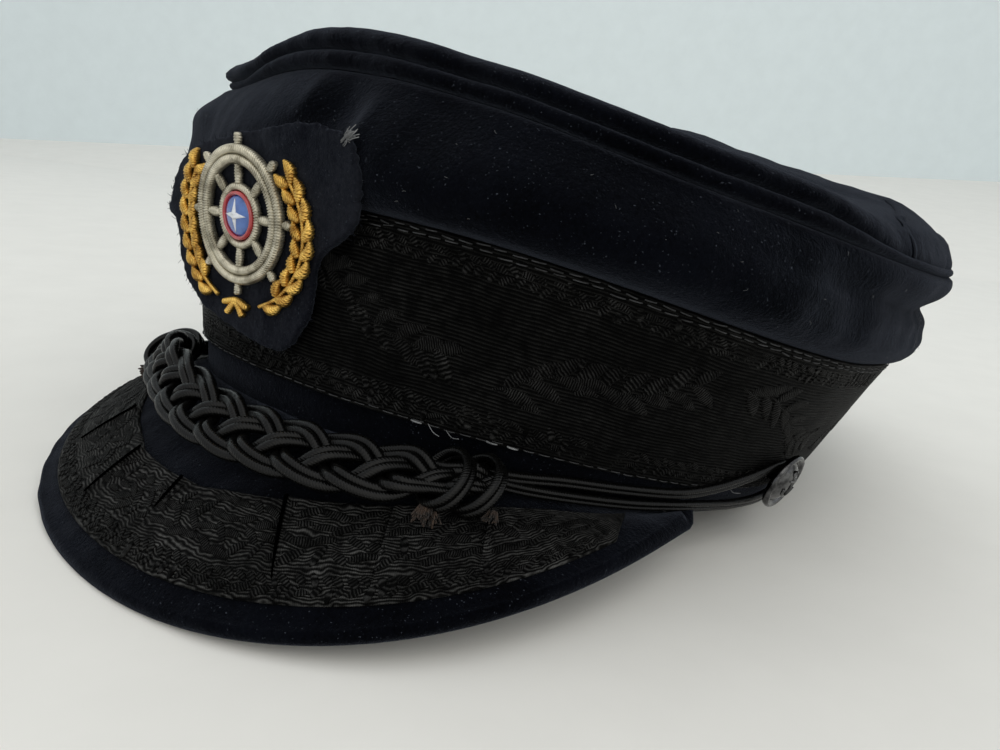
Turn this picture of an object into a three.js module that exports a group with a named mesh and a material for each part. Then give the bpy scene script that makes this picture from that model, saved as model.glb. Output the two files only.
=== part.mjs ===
// A skipper's peaked cap of navy wool, lying on a table as it does by itself.
//
// The cap is worked out in its own frame, in millimetres: the plane of the head opening is level,
// the peak points to -Y, the wearer's left is +X and +Z is up. A place on the cap is given by the
// angle round the head, 0 at the front, 90 at the wearer's left and 180 at the back. At the end
// every piece is tilted back and set down on the rim of the peak and the hem of the band.
import * as THREE from "three";

// The head opening: half its width and length, and the power that squares its oval a little.
const HEAD = { halfWidth: 84, halfLength: 101, power: 2.25 };

// The band's wall leans outwards: tangents of the lean at the side, the front and the back.
const LEAN = { side: 0.46, front: 0, back: 0.18 };

// The hem isn't flat: it dips at the sides by the saddle and is kicked up behind.
const HEM = { saddle: 7.5, kick: 2.5 };

const BAND = { width: 52, thick: 2.5 };
const RIBBON = { from: 9.5, width: 41, thick: 1 };
const GAP = 0.3;

// Heights up the wall at which the band and its ribbon have their corners, so that they run
// parallel all the way round.
const BAND_LEVELS = [0, RIBBON.from, RIBBON.from + RIBBON.width / 2, RIBBON.from + RIBBON.width, BAND.width];

// The crown, measured round the head. seamHeight and seamOut place the lower line of stitching of
// the top seam, bulge is how far the side panel bellies out under it, ridge is the seam's height.
const CROWN = { thick: 2, joinGap: 0.4, bellyPower: 0.8 };
const CROWN_ROWS = [
  { angle: 0, seamHeight: 84.2, seamOut: -5.0, bulge: 7.6, ridge: 9.4 },
  { angle: 30, seamHeight: 79.2, seamOut: -3.5, bulge: 8.6, ridge: 8.4 },
  { angle: 60, seamHeight: 68.7, seamOut: 2.3, bulge: 8.1, ridge: 8.4 },
  { angle: 90, seamHeight: 61.8, seamOut: 9.2, bulge: 5.0, ridge: 9.0 },
  { angle: 120, seamHeight: 67.0, seamOut: 4.5, bulge: 8.0, ridge: 9.0 },
  { angle: 150, seamHeight: 72.1, seamOut: -1.9, bulge: 14.3, ridge: 9.0 },
  { angle: 180, seamHeight: 81.2, seamOut: -1.7, bulge: 15.0, ridge: 6.7 },
  { angle: 210, seamHeight: 83.9, seamOut: 0.1, bulge: 13.1, ridge: 6.5 },
  { angle: 240, seamHeight: 83.4, seamOut: 2.4, bulge: 9.4, ridge: 6.4 },
  { angle: 270, seamHeight: 83.5, seamOut: 1.8, bulge: 6.0, ridge: 6.4 },
  { angle: 300, seamHeight: 83.4, seamOut: -2.6, bulge: 5.8, ridge: 6.2 },
  { angle: 330, seamHeight: 81.2, seamOut: -7.0, bulge: 4.2, ridge: 5.8 },
];

// Folds of the side panel: where they are round the head and up the panel (0 at the band, 1 at the
// seam), how wide, and how deep. The first two pinch the front above the badge, the third is a soft
// shoulder at the wearer's right, and the last two are the creases where the back has slumped.
const FOLDS = [
  { angle: 9, spread: 5, up: 0.66, reach: 0.3, depth: 3.0 },
  { angle: 27, spread: 6, up: 0.7, reach: 0.4, depth: 1.6 },
  { angle: 312, spread: 32, up: 0.72, reach: 0.2, depth: -4.0 },
  { angle: 100, spread: 26, up: 0.62, reach: 0.14, depth: 5.4 },
  { angle: 100, spread: 30, up: 0.38, reach: 0.14, depth: 2.8 },
];

// The seam's rolled edge in section: out from the seam line, and up as a share of the ridge.
const SEAM_OUTSIDE = [
  { out: 0, up: 0.03 },
  { out: 1.1, up: 0.26 },
  { out: -0.3, up: 0.5 },
  { out: 0.3, up: 0.72 },
  { out: -2.2, up: 0.97 },
  { out: -6.0, up: 0.97 },
];
const SEAM_INSIDE = [
  { out: -6.0, up: 0.97, down: 1.8 },
  { out: -3.9, up: 0.97, down: 2.0 },
  { out: -2.6, up: 0.45, down: 0 },
  { out: -2.0, up: 0.03, down: 0 },
];

// The top panel sags between its seams, and behind its middle it stands up again in a wide hump, as
// soft cloth does when the stiff front holds it up. The rings are shares of the way out from its
// middle. The hump's edge is the power by which it dies out at the seam.
const TOP = { sag: 6, rings: [0.12, 0.35, 0.55, 0.75, 0.9, 0.97, 1] };
const HUMP = { left: 10, back: 25, height: 15, halfWidth: 100, halfLength: 44, edge: 20 };

// The peak: its reach past the band, the drop of its front rim under the head's plane, the shape
// of its outline, and the angle round the head where its corners meet the band.
const PEAK = {
  reach: 40.4,
  frontDrop: 26.7,
  halfWidth: 87.9,
  widthPower: 2.09,
  lengthPower: 2.6,
  dropPower: 1.07,
  shoulderAngle: 63.4,
  shoulderShare: 0.9,
  cornerAngle: 80,
  attach: -0.5,
  cornerAttach: -0.9,
  cornerGap: 1.3,
  thick: 3.5,
  dome: 1.6,
};
const PEAK_RIBBON = { fromRim: 6.5, width: 25, thick: 0.8, leftOut: 4, least: 6.4 };

// The plait lies on the peak, and at the wearer's right it leans on the band: the share of the peak,
// the distance of its middle line from the band, its lean in degrees and its height. Its half width
// and thickness are given where it is free and where the wraps draw it in.
const PLAIT_LIE = [
  { share: -0.53, fromBand: 6.4, lean: 6, height: 8.2 },
  { share: -0.46, fromBand: 6.9, lean: 14, height: 8.6 },
  { share: -0.4, fromBand: 7.2, lean: 24, height: 9.1 },
  { share: -0.32, fromBand: 7.3, lean: 33, height: 9.5 },
  { share: -0.2, fromBand: 7.6, lean: 32, height: 9.3 },
  { share: -0.12, fromBand: 8.4, lean: 21, height: 8.7 },
  { share: -0.05, fromBand: 9.6, lean: 8, height: 8.0 },
  { share: 0, fromBand: 10.3, lean: 2, height: 7.7 },
  { share: 0.1, fromBand: 10.5, lean: 0, height: 7.7 },
  { share: 0.3, fromBand: 9.8, lean: 0, height: 7.7 },
  { share: 0.4, fromBand: 8.6, lean: 0, height: 7.7 },
  { share: 0.53, fromBand: 6.6, lean: 0, height: 8.0 },
];
const PLAIT = {
  endShare: 0.515,
  free: { until: 0.35, halfWidth: 7.9, halfThick: 2.6 },
  bound: { from: 0.43, halfWidth: 5.2, halfThick: 1.9 },
};

// Two turns of cord round each end of the plait, leaning a little along it.
const WRAP = { shares: [0.4485, 0.4995], lean: 0.018, halfLength: 7.4, halfThick: 4.0, cord: 1.3 };

// The cord that runs from the wraps to the side button, round its shank and back: angle, height
// up the band's wall and distance out from it.
const TAIL_RADIUS = 1.2;
const TAIL_RUN = [
  { angle: 43.6, up: 4.6, out: 2.2 },
  { angle: 50, up: 5.3, out: 1.8 },
  { angle: 58.5, up: 6.4, out: 1.8 },
  { angle: 67.3, up: 8.6, out: 2.9 },
  { angle: 73.5, up: 11.5, out: 3.0 },
  { angle: 79.6, up: 15.9, out: 3.0 },
  { angle: 84, up: 19.4, out: 3.0 },
  { angle: 88.3, up: 19.6, out: 3.0 },
  { angle: 91, up: 15.8, out: 3.0 },
  { angle: 89.8, up: 11.0, out: 3.0 },
  { angle: 86.4, up: 8.0, out: 3.0 },
  { angle: 82.5, up: 7.2, out: 3.2 },
  { angle: 77.5, up: 6.7, out: 3.4 },
  { angle: 72, up: 6.1, out: 3.4 },
  { angle: 67, up: 5.1, out: 3.3 },
  { angle: 61, up: 3.9, out: 3.2 },
  { angle: 55, up: 3.1, out: 3.2 },
  { angle: 49, up: 2.4, out: 3.5 },
  { angle: 43.6, up: 1.9, out: 3.8 },
];

// Cut ends of the cord that stick out under the wraps.
const CUT_ENDS = [
  { share: 0.445, from: 17.2, to: 21.0, lean: 0.008, radius: 2.0, height: 5.4 },
  { share: 0.542, from: 14.6, to: 17.6, lean: 0.004, radius: 1.2, height: 4.9 },
];

const BUTTON = { angle: 86, up: 15.8, radius: 8, rim: 1.3, dome: 3.2, shank: 1.6 };

// The badge: the middle of its face on the band, the turn of its face, the radius by which its
// right side bends back, how it leans out over the bulge of the crown from a height on, and the
// patch's cut outline, to the wearer's left and up from the face's middle.
const BADGE = { angle: -5.0, up: 45.5, out: 3.9, turn: 4, bend: 400 };
const BADGE_LEAN = { from: -8, slope: 0.165, soft: 6 };
const PATCH = { right: 7, up: -4, rings: [0.3, 0.65, 1], thick: 1.8, corners: 36 };
const PATCH_OUTLINE = [
  { right: 40, up: 1 },
  { right: 42, up: 7 },
  { right: 40, up: 17 },
  { right: 32, up: 20 },
  { right: 23, up: 20 },
  { right: 11, up: 18 },
  { right: -1, up: 16 },
  { right: -13, up: 13 },
  { right: -21, up: 9 },
  { right: -29, up: -2 },
  { right: -25, up: -6 },
  { right: -20, up: -18 },
  { right: -10, up: -24 },
  { right: 2, up: -27 },
  { right: 19, up: -29 },
  { right: 27, up: -22 },
  { right: 29, up: -15 },
  { right: 30, up: -7 },
];
const WHEEL = { right: 5.5, up: -1, radius: 13.3, cord: 2 };
const DISC = { radius: 5.4, thick: 2, edge: 0.5 };
const SPRAY = { radius: 18.5, from: 22, to: 128, halfWidth: 2.4, halfThick: 1.2, stretch: 1.15, rise: -3 };

// How the cap lies: tilted back on its peak, sunk by what the cloth is flattened where it rests,
// and moved so that its outline stands centred over the origin.
const REST = { tilt: 6.12, lift: 11.5, right: -1.677, back: 6.27 };

const STEPS = { head: 60, peak: 36, plait: 30, cord: 64, wrap: 18 };

const COLOURS = {
  wool: { color: 0x14161d, roughness: 0.95, metalness: 0 },
  ribbon: { color: 0x0e0f10, roughness: 0.7, metalness: 0 },
  cord: { color: 0x0d0e10, roughness: 0.5, metalness: 0 },
  glue: { color: 0x4a3d30, roughness: 0.8, metalness: 0 },
  metal: { color: 0x6f7174, roughness: 0.25, metalness: 1 },
  silver: { color: 0xa9a795, roughness: 0.4, metalness: 0.8 },
  gold: { color: 0xb8923f, roughness: 0.4, metalness: 0.8 },
  enamel: { color: 0x3a62b5, roughness: 0.2, metalness: 0 },
};

const cap = new THREE.Group();
const radians = THREE.MathUtils.degToRad;
const vector = (x, y, z) => new THREE.Vector3(x, y, z);

function addPiece(name, geometry, finish) {
  const mesh = new THREE.Mesh(geometry, new THREE.MeshStandardMaterial(COLOURS[finish]));
  mesh.name = name;
  cap.add(mesh);
}

// Smooth value of a table's column at an angle, the table's rows being evenly spaced and the
// last one followed by the first.
function roundTheTable(rows, column, angle) {
  const step = 360 / rows.length;
  const turns = (((angle % 360) + 360) % 360) / step;
  const first = Math.floor(turns);
  const share = turns - first;
  const value = (offset) => rows[(first + offset + rows.length) % rows.length][column];
  const [before, here, next, after] = [-1, 0, 1, 2].map(value);
  const slopeHere = (next - before) / 2;
  const slopeNext = (after - here) / 2;
  const bend = 2 * here - 2 * next + slopeHere + slopeNext;
  const pull = -3 * here + 3 * next - 2 * slopeHere - slopeNext;
  return ((bend * share + pull) * share + slopeHere) * share + here;
}

// The hem, the oval and the lean of the wall at an angle round the head.
function hemHeight(angle) {
  const turn = radians(angle);
  return HEM.saddle * Math.cos(2 * turn) - HEM.kick * Math.cos(3 * turn);
}

function oval(angle, out, height) {
  const power = 2 / HEAD.power;
  const across = Math.sin(radians(angle));
  const along = Math.cos(radians(angle));
  const x = (HEAD.halfWidth + out) * Math.sign(across) * Math.abs(across) ** power;
  const y = -(HEAD.halfLength + out) * Math.sign(along) * Math.abs(along) ** power;
  return vector(x, y, height);
}

function wallLean(angle) {
  const across = Math.sin(radians(angle)) ** 2;
  const end = Math.cos(radians(angle)) > 0 ? LEAN.front : LEAN.back;
  return Math.atan(LEAN.side * across + end * (1 - across));
}

// A point of the band's wall: up along the leaning wall from the hem, and out from its face.
function onWall(angle, up, out) {
  const lean = wallLean(angle);
  const away = up * Math.sin(lean) + out * Math.cos(lean);
  return oval(angle, away, hemHeight(angle) + up * Math.cos(lean) - out * Math.sin(lean));
}

// A closed body from rings of points, each ring joined to the next. An endless body joins its
// last ring to its first; any other is closed at both ends by a fan round the ring's middle.
// From the point number turn on, a ring comes back on its other side, and its faces are split the
// other way, so that both sides of a sheet are parallel.
function loft(rings, endless, turn) {
  const around = rings[0].length;
  const points = rings.flat();
  const faces = [];
  const last = endless ? rings.length : rings.length - 1;
  for (let ring = 0; ring < last; ring += 1) {
    const next = (ring + 1) % rings.length;
    for (let side = 0; side < around; side += 1) {
      const beside = (side + 1) % around;
      const [a, b] = [ring * around + side, ring * around + beside];
      const [c, d] = [next * around + beside, next * around + side];
      faces.push(...(side < turn ? [[a, b, c], [a, c, d]] : [[a, b, d], [b, c, d]]));
    }
  }
  if (!endless) {
    for (const [ring, flip] of [[0, true], [rings.length - 1, false]]) {
      const middle = rings[ring].reduce((sum, point) => sum.add(point), vector(0, 0, 0));
      points.push(middle.divideScalar(around));
      for (let side = 0; side < around; side += 1) {
        const edge = [ring * around + side, ring * around + ((side + 1) % around)];
        faces.push(flip ? [points.length - 1, edge[1], edge[0]] : [points.length - 1, edge[0], edge[1]]);
      }
    }
  }
  return bodyFrom(points, faces);
}

// A geometry whose faces point out, whichever way round they were listed.
function bodyFrom(points, faces) {
  const volume = faces.reduce((sum, [a, b, c]) => {
    return sum + points[a].dot(vector(0, 0, 0).crossVectors(points[b], points[c]));
  }, 0);
  const outward = volume > 0 ? faces : faces.map(([a, b, c]) => [a, c, b]);
  const geometry = new THREE.BufferGeometry();
  geometry.setAttribute("position", new THREE.Float32BufferAttribute(points.flatMap((p) => p.toArray()), 3));
  geometry.setIndex(outward.flat());
  return geometry;
}

// The cap's tilt on the table; what would reach under the table is pressed flat on it.
function layDown(geometry) {
  const place = new THREE.Matrix4().makeRotationX(-radians(REST.tilt));
  place.setPosition(REST.right, REST.back, REST.lift);
  geometry.applyMatrix4(place);
  const position = geometry.attributes.position;
  for (let index = 0; index < position.count; index += 1) {
    position.setZ(index, Math.max(position.getZ(index), 0));
  }
  geometry.computeVertexNormals();
}

function steps(count, from, to) {
  return Array.from({ length: count + 1 }, (_, index) => from + ((to - from) * index) / count);
}

const headAngles = steps(STEPS.head, 0, 360).slice(0, -1);

// A sheet all round the head: its outer face's points going up, and its inner face's going up.
function sheetRoundTheHead(outerAt, innerAt) {
  const rings = headAngles.map((angle) => [...outerAt(angle), ...innerAt(angle).reverse()]);
  return loft(rings, true, outerAt(0).length);
}

// A strip that stands on the band's wall, with its corners at the given heights.
function wallStrip(levels, inside, outside) {
  const face = (out) => (angle) => levels.map((up) => onWall(angle, up, out));
  return sheetRoundTheHead(face(outside), face(inside));
}

addPiece("head_band", wallStrip(BAND_LEVELS, -BAND.thick, 0), "wool");
addPiece("band_ribbon", wallStrip(BAND_LEVELS.slice(1, -1), GAP, GAP + RIBBON.thick), "ribbon");

// The crown's side panel in section: out from the oval, and height.
function foldDepth(angle, up) {
  return FOLDS.reduce((depth, fold) => {
    const aside = (angle - fold.angle) / fold.spread;
    const above = (up - fold.up) / fold.reach;
    return depth + fold.depth * Math.exp(-aside * aside - above * above);
  }, 0);
}

function sidePanel(angle, up) {
  const start = BAND.width + CROWN.joinGap;
  const lean = wallLean(angle);
  const bulge = roundTheTable(CROWN_ROWS, "bulge", angle);
  const seamOut = roundTheTable(CROWN_ROWS, "seamOut", angle);
  const seamHeight = roundTheTable(CROWN_ROWS, "seamHeight", angle);
  const belly = bulge * Math.sin(Math.PI * up ** CROWN.bellyPower);
  const foot = hemHeight(angle) + start * Math.cos(lean);
  return new THREE.Vector2(
    start * Math.sin(lean) + seamOut * up + belly - foldDepth(angle, up),
    foot + (seamHeight - foot) * up,
  );
}

const panelLevels = steps(8, 0, 1);

function insideOfPanel(angle) {
  const outside = panelLevels.map((up) => sidePanel(angle, up));
  const lean = wallLean(angle);
  return outside.map((point, index) => {
    const ahead = outside[Math.min(index + 1, outside.length - 1)];
    const behind = outside[Math.max(index - 1, 0)];
    const run = index === 0 ? new THREE.Vector2(Math.sin(lean), Math.cos(lean)) : ahead.clone().sub(behind);
    run.normalize();
    if (index === outside.length - 1) run.set(0, 1);
    return oval(angle, point.x - run.y * CROWN.thick, point.y + run.x * CROWN.thick);
  });
}

function outsideOfPanel(angle) {
  return panelLevels.map((up) => sidePanel(angle, up)).map((point) => oval(angle, point.x, point.y));
}
addPiece("crown_side", sheetRoundTheHead(outsideOfPanel, insideOfPanel), "wool");

// The rolled seam stands on the side panel's upper edge.
function seamPoint(angle, row) {
  const seam = sidePanel(angle, 1);
  const ridge = roundTheTable(CROWN_ROWS, "ridge", angle);
  return oval(angle, seam.x + row.out, seam.y + GAP + ridge * row.up - (row.down ?? 0));
}
const seamFace = (rows) => (angle) => rows.map((row) => seamPoint(angle, row));
addPiece("crown_welt", sheetRoundTheHead(seamFace(SEAM_OUTSIDE), seamFace(SEAM_INSIDE.toReversed())), "wool");

// The top panel hangs from the inner edge of the rolled seam, and sags towards its middle.
function crownTop() {
  const seamEdge = { out: SEAM_INSIDE[0].out - GAP, up: SEAM_INSIDE[0].up };
  const edge = headAngles.map((angle) => seamPoint(angle, seamEdge));
  const middle = edge.reduce((sum, point) => sum.add(point), vector(0, 0, 0)).divideScalar(edge.length);
  const ringAt = (share, drop) => edge.map((point) => {
    const place = middle.clone().lerp(point, share);
    const aside = (place.x - HUMP.left) / HUMP.halfWidth;
    const behind = (place.y - HUMP.back) / HUMP.halfLength;
    const hump = HUMP.height * Math.exp(-aside * aside - behind * behind) * (1 - share ** HUMP.edge);
    place.z = middle.z + (point.z - middle.z) * share ** 2 - TOP.sag * (1 - share ** 2) + hump - drop;
    return place;
  });
  const upper = TOP.rings.map((share) => ringAt(share, 0));
  const lower = TOP.rings.map((share) => ringAt(share, CROWN.thick));
  return loft([...upper, ...lower.reverse()], false);
}
addPiece("crown_top", crownTop(), "wool");

// The peak's rim, from one corner (-1) over the front (0) to the other (1).
function rimPoint(share) {
  const turn = (THREE.MathUtils.clamp(share / PEAK.shoulderShare, -1, 1) * Math.PI) / 2;
  const across = Math.sin(turn);
  const along = Math.abs(Math.cos(turn));
  const shoulder = -HEAD.halfLength * Math.cos(radians(PEAK.shoulderAngle));
  const shoulderHeight = hemHeight(PEAK.shoulderAngle);
  const point = vector(
    PEAK.halfWidth * Math.sign(across) * Math.abs(across) ** (2 / PEAK.widthPower),
    shoulder - (HEAD.halfLength + PEAK.reach + shoulder) * along ** (2 / PEAK.lengthPower),
    shoulderHeight - (PEAK.frontDrop + shoulderHeight) * along ** PEAK.dropPower,
  );
  const past = (Math.abs(share) - PEAK.shoulderShare) / (1 - PEAK.shoulderShare);
  const corner = onWall(PEAK.cornerAngle * Math.sign(share), PEAK.cornerAttach, PEAK.thick);
  return point.lerp(corner, THREE.MathUtils.clamp(past, 0, 1));
}

// A point on the peak: its share of the way round, how far from the band along the slope, and how
// high over the middle of its thickness.
function peakFrame(share) {
  const nudge = 0.001;
  const corner = share * share;
  const attach = PEAK.attach + PEAK.cornerAttach * corner;
  const foot = onWall(PEAK.cornerAngle * share, attach, GAP + PEAK.cornerGap * corner);
  const slope = rimPoint(share).sub(foot);
  const length = slope.length();
  slope.divideScalar(length);
  const along = rimPoint(Math.min(share + nudge, 1)).sub(rimPoint(Math.max(share - nudge, -1)));
  const up = vector(0, 0, 0).crossVectors(along, slope).normalize();
  return { foot, slope, length, up: up.z < 0 ? up.negate() : up };
}

function onPeak(share, fromBand, height) {
  const { foot, slope, length, up } = peakFrame(share);
  const dome = PEAK.dome * Math.sin(Math.PI * THREE.MathUtils.clamp(fromBand / length, 0, 1));
  return foot.addScaledVector(slope, fromBand).addScaledVector(up, dome + height);
}

const half = PEAK.thick / 2;
const peakShares = steps(STEPS.peak, -1, 1);

// Where the ribbon on the peak has its edges and its middle, from the band outwards.
function ribbonPlaces(share) {
  const { length } = peakFrame(share);
  const outer = Math.max(length - PEAK_RIBBON.fromRim, PEAK_RIBBON.least + 1);
  const inner = Math.max(outer - PEAK_RIBBON.width, PEAK_RIBBON.least);
  return [inner, (inner + outer) / 2, outer];
}

function peakSection(share) {
  const { length } = peakFrame(share);
  const nose = Math.max(length - half, 0.3);
  const places = ribbonPlaces(share);
  const fits = places[2] < nose - 1;
  const flats = fits ? [0, ...places] : [0, 0.3, 0.6, 0.8].map((part) => part * nose);
  const upper = flats.map((distance) => onPeak(share, distance, half));
  const lower = [0, 0.5].map((part) => onPeak(share, part * nose, -half));
  const rim = steps(4, 90, -90).map((turn) => {
    const away = half * Math.cos(radians(turn));
    return onPeak(share, nose + away, half * Math.sin(radians(turn)));
  });
  return [...upper, ...rim, ...lower.reverse()];
}
addPiece("peak", loft(peakShares.map(peakSection), false, 9), "wool");

function peakRibbonSection(share) {
  const low = half + GAP;
  const upper = ribbonPlaces(share).map((distance) => onPeak(share, distance, low + PEAK_RIBBON.thick));
  const lower = ribbonPlaces(share).map((distance) => onPeak(share, distance, low));
  return [...upper, ...lower.reverse()];
}
const ribbonShares = peakShares.slice(PEAK_RIBBON.leftOut, -PEAK_RIBBON.leftOut);
addPiece("peak_ribbon", loft(ribbonShares.map(peakRibbonSection), false, 3), "ribbon");

// The plait's outer form: a long flat oval in section, drawn in by the wraps.
function onPlait(share, across, above) {
  const after = Math.max(PLAIT_LIE.findIndex((row) => row.share >= share), 1);
  const [row, next] = [PLAIT_LIE[after - 1], PLAIT_LIE[after]];
  const part = (share - row.share) / (next.share - row.share);
  const lie = (column) => THREE.MathUtils.lerp(row[column], next[column], part);
  const [cosine, sine] = [Math.cos(radians(lie("lean"))), Math.sin(radians(lie("lean")))];
  return onPeak(share, lie("fromBand") + across * cosine + above * sine, lie("height") - across * sine + above * cosine);
}

function plaitSection(share) {
  const drawn = THREE.MathUtils.smoothstep(Math.abs(share), PLAIT.free.until, PLAIT.bound.from);
  const size = (column) => THREE.MathUtils.lerp(PLAIT.free[column], PLAIT.bound[column], drawn);
  return steps(10, 0, 360).slice(0, -1).map((turn) => {
    const across = size("halfWidth") * Math.cos(radians(turn));
    return onPlait(share, across, size("halfThick") * Math.sin(radians(turn)));
  });
}
addPiece("cord_plait", loft(steps(STEPS.plait, -PLAIT.endShare, PLAIT.endShare).map(plaitSection), false), "cord");

// What each side of the cap carries: the wraps, the tails, the cut ends and the button.
function wrapRing(side, share) {
  const ringPoint = (turn, swell) => {
    const across = (WRAP.halfLength + swell) * Math.cos(radians(turn));
    const above = (WRAP.halfThick + swell) * Math.sin(radians(turn));
    return onPlait(side * (share + WRAP.lean * Math.cos(radians(turn))), across, above);
  };
  const rings = steps(STEPS.wrap, 0, 360).slice(0, -1).map((turn) => {
    const middle = ringPoint(turn, 0);
    const run = ringPoint(turn + 1, 0).sub(ringPoint(turn - 1, 0)).normalize();
    const outward = ringPoint(turn, 1).sub(middle);
    outward.addScaledVector(run, -outward.dot(run)).normalize();
    const aside = vector(0, 0, 0).crossVectors(run, outward);
    return steps(8, 0, 360).slice(0, -1).map((twist) => {
      const point = middle.clone().addScaledVector(outward, WRAP.cord * Math.cos(radians(twist)));
      return point.addScaledVector(aside, WRAP.cord * Math.sin(radians(twist)));
    });
  });
  return loft(rings, true);
}

function cordAlong(points, radius, count) {
  const section = new THREE.Shape();
  section.absarc(0, 0, radius, 0, 2 * Math.PI);
  const extrudePath = new THREE.CatmullRomCurve3(points, false, "centripetal");
  return new THREE.ExtrudeGeometry(section, { steps: count, curveSegments: 4, bevelEnabled: false, extrudePath });
}

function tail(side) {
  return cordAlong(TAIL_RUN.map((row) => onWall(side * row.angle, row.up, row.out)), TAIL_RADIUS, STEPS.cord);
}

function cutEnd(side, end) {
  const from = onPeak(side * end.share, end.from, end.height);
  const to = onPeak(side * (end.share + end.lean), end.to, end.height);
  return cordAlong([from, to], end.radius, 1);
}

function button(side) {
  const back = TAIL_RADIUS * 2 + 2 * GAP;
  const profile = [
    [0, 0],
    [BUTTON.shank, 0],
    [BUTTON.shank, back],
    [BUTTON.radius - 0.8, back],
    [BUTTON.radius, back + 0.6],
    [BUTTON.radius, back + BUTTON.rim],
    [BUTTON.radius - 1, back + BUTTON.rim + 0.5],
    [BUTTON.radius - 2, back + BUTTON.rim],
    [BUTTON.radius * 0.5, back + BUTTON.dome - 0.4],
    [0, back + BUTTON.dome],
  ].map(([x, y]) => new THREE.Vector2(x, y));
  const geometry = new THREE.LatheGeometry(profile, 20);
  const seat = onWall(side * BUTTON.angle, BUTTON.up, GAP + RIBBON.thick + GAP);
  const outward = onWall(side * BUTTON.angle, BUTTON.up, RIBBON.thick + 3 * GAP).sub(seat).normalize();
  const turn = new THREE.Quaternion().setFromUnitVectors(vector(0, 1, 0), outward);
  geometry.applyQuaternion(turn);
  geometry.translate(seat.x, seat.y, seat.z);
  return geometry;
}

for (const [name, side] of [["left", 1], ["right", -1]]) {
  WRAP.shares.forEach((share, index) => addPiece(`cord_wrap_${name}_${index + 1}`, wrapRing(side, share), "cord"));
  addPiece(`cord_tail_${name}`, tail(side), "cord");
  CUT_ENDS.forEach((end, index) => addPiece(`cord_end_${name}_${index + 1}`, cutEnd(side, end), "glue"));
  addPiece(`button_${name}`, button(side), "metal");
}

// The badge's own sheet: right and up along its face, and height over the back of its patch.
function onBadge(right, up, height) {
  const turn = radians(BADGE.turn);
  const middle = onWall(BADGE.angle, BADGE.up, BADGE.out);
  const above = up - BADGE_LEAN.from;
  const lean = (BADGE_LEAN.slope * (above + Math.hypot(above, BADGE_LEAN.soft))) / 2;
  const away = lean - Math.min(right - PATCH.right, 0) ** 2 / (2 * BADGE.bend) + height;
  return middle.add(vector(
    right * Math.cos(turn) + away * Math.sin(turn),
    right * Math.sin(turn) - away * Math.cos(turn),
    up,
  ));
}

function patch() {
  const corners = PATCH_OUTLINE.map(({ right, up }) => vector(right, up, 0));
  const outline = new THREE.CatmullRomCurve3(corners, true).getPoints(PATCH.corners).slice(0, -1);
  const ringAt = (share, height) => outline.map((point) => {
    const right = PATCH.right + share * (point.x - PATCH.right);
    return onBadge(right, PATCH.up + share * (point.y - PATCH.up), height);
  });
  const front = PATCH.rings.map((share) => ringAt(share, PATCH.thick));
  const back = PATCH.rings.map((share) => ringAt(share, 0));
  return loft([...front, ...back.reverse()], false);
}
addPiece("badge_patch", patch(), "wool");

const badgeFace = PATCH.thick + GAP;

function wheel() {
  const sectionAt = (angle) => steps(8, 0, 360).slice(0, -1).map((twist) => {
    const radius = WHEEL.radius + WHEEL.cord * Math.cos(radians(twist));
    const height = badgeFace + WHEEL.cord * (1 + Math.sin(radians(twist)));
    const right = WHEEL.right + radius * Math.cos(radians(angle));
    return onBadge(right, WHEEL.up + radius * Math.sin(radians(angle)), height);
  });
  return loft(steps(28, 0, 360).slice(0, -1).map(sectionAt), true);
}
addPiece("badge_wheel", wheel(), "silver");

function disc() {
  const ringAt = (radius, height) => steps(18, 0, 360).slice(0, -1).map((angle) => {
    const right = WHEEL.right + radius * Math.cos(radians(angle));
    return onBadge(right, WHEEL.up + radius * Math.sin(radians(angle)), badgeFace + height);
  });
  return loft([
    ringAt(DISC.radius, 0),
    ringAt(DISC.radius, DISC.thick - DISC.edge),
    ringAt(DISC.radius - DISC.edge, DISC.thick),
  ], false);
}
addPiece("badge_disc", disc(), "enamel");

// A spray curves up beside the wheel from the foot of the badge, and narrows at both ends.
function spray(side) {
  const turns = steps(14, SPRAY.from, SPRAY.to);
  return loft(turns.map((turn, index) => {
    const share = index / (turns.length - 1);
    const halfWidth = 0.7 + SPRAY.halfWidth * Math.sin(Math.PI * (0.12 + 0.76 * share));
    return steps(8, 0, 360).slice(0, -1).map((twist) => {
      const radius = SPRAY.radius + halfWidth * Math.cos(radians(twist));
      const right = WHEEL.right + side * SPRAY.stretch * radius * Math.sin(radians(turn));
      const height = badgeFace + SPRAY.halfThick * (1 + Math.sin(radians(twist)));
      return onBadge(right, SPRAY.rise - radius * Math.cos(radians(turn)), height);
    });
  }), false);
}
addPiece("badge_spray_left", spray(1), "gold");
addPiece("badge_spray_right", spray(-1), "gold");

cap.children.forEach((mesh) => layDown(mesh.geometry));

export default cap;
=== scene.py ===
# %% [markdown]
# # A skipper's cap in navy wool
# The real cap is sewn from wool cloth, with a woven ribbon round the band and on the stiff peak, a plaited
# cord held by two buttons, and a badge worked in metal thread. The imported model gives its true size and
# place. This lesson dresses that model: each piece is made again in finer detail, at the same place. It could
# be sculpted by hand, but in code every measure stays visible and can be changed by a reader.

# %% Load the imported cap
import math

import bpy
import numpy as np
from mathutils import Matrix, Vector


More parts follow.
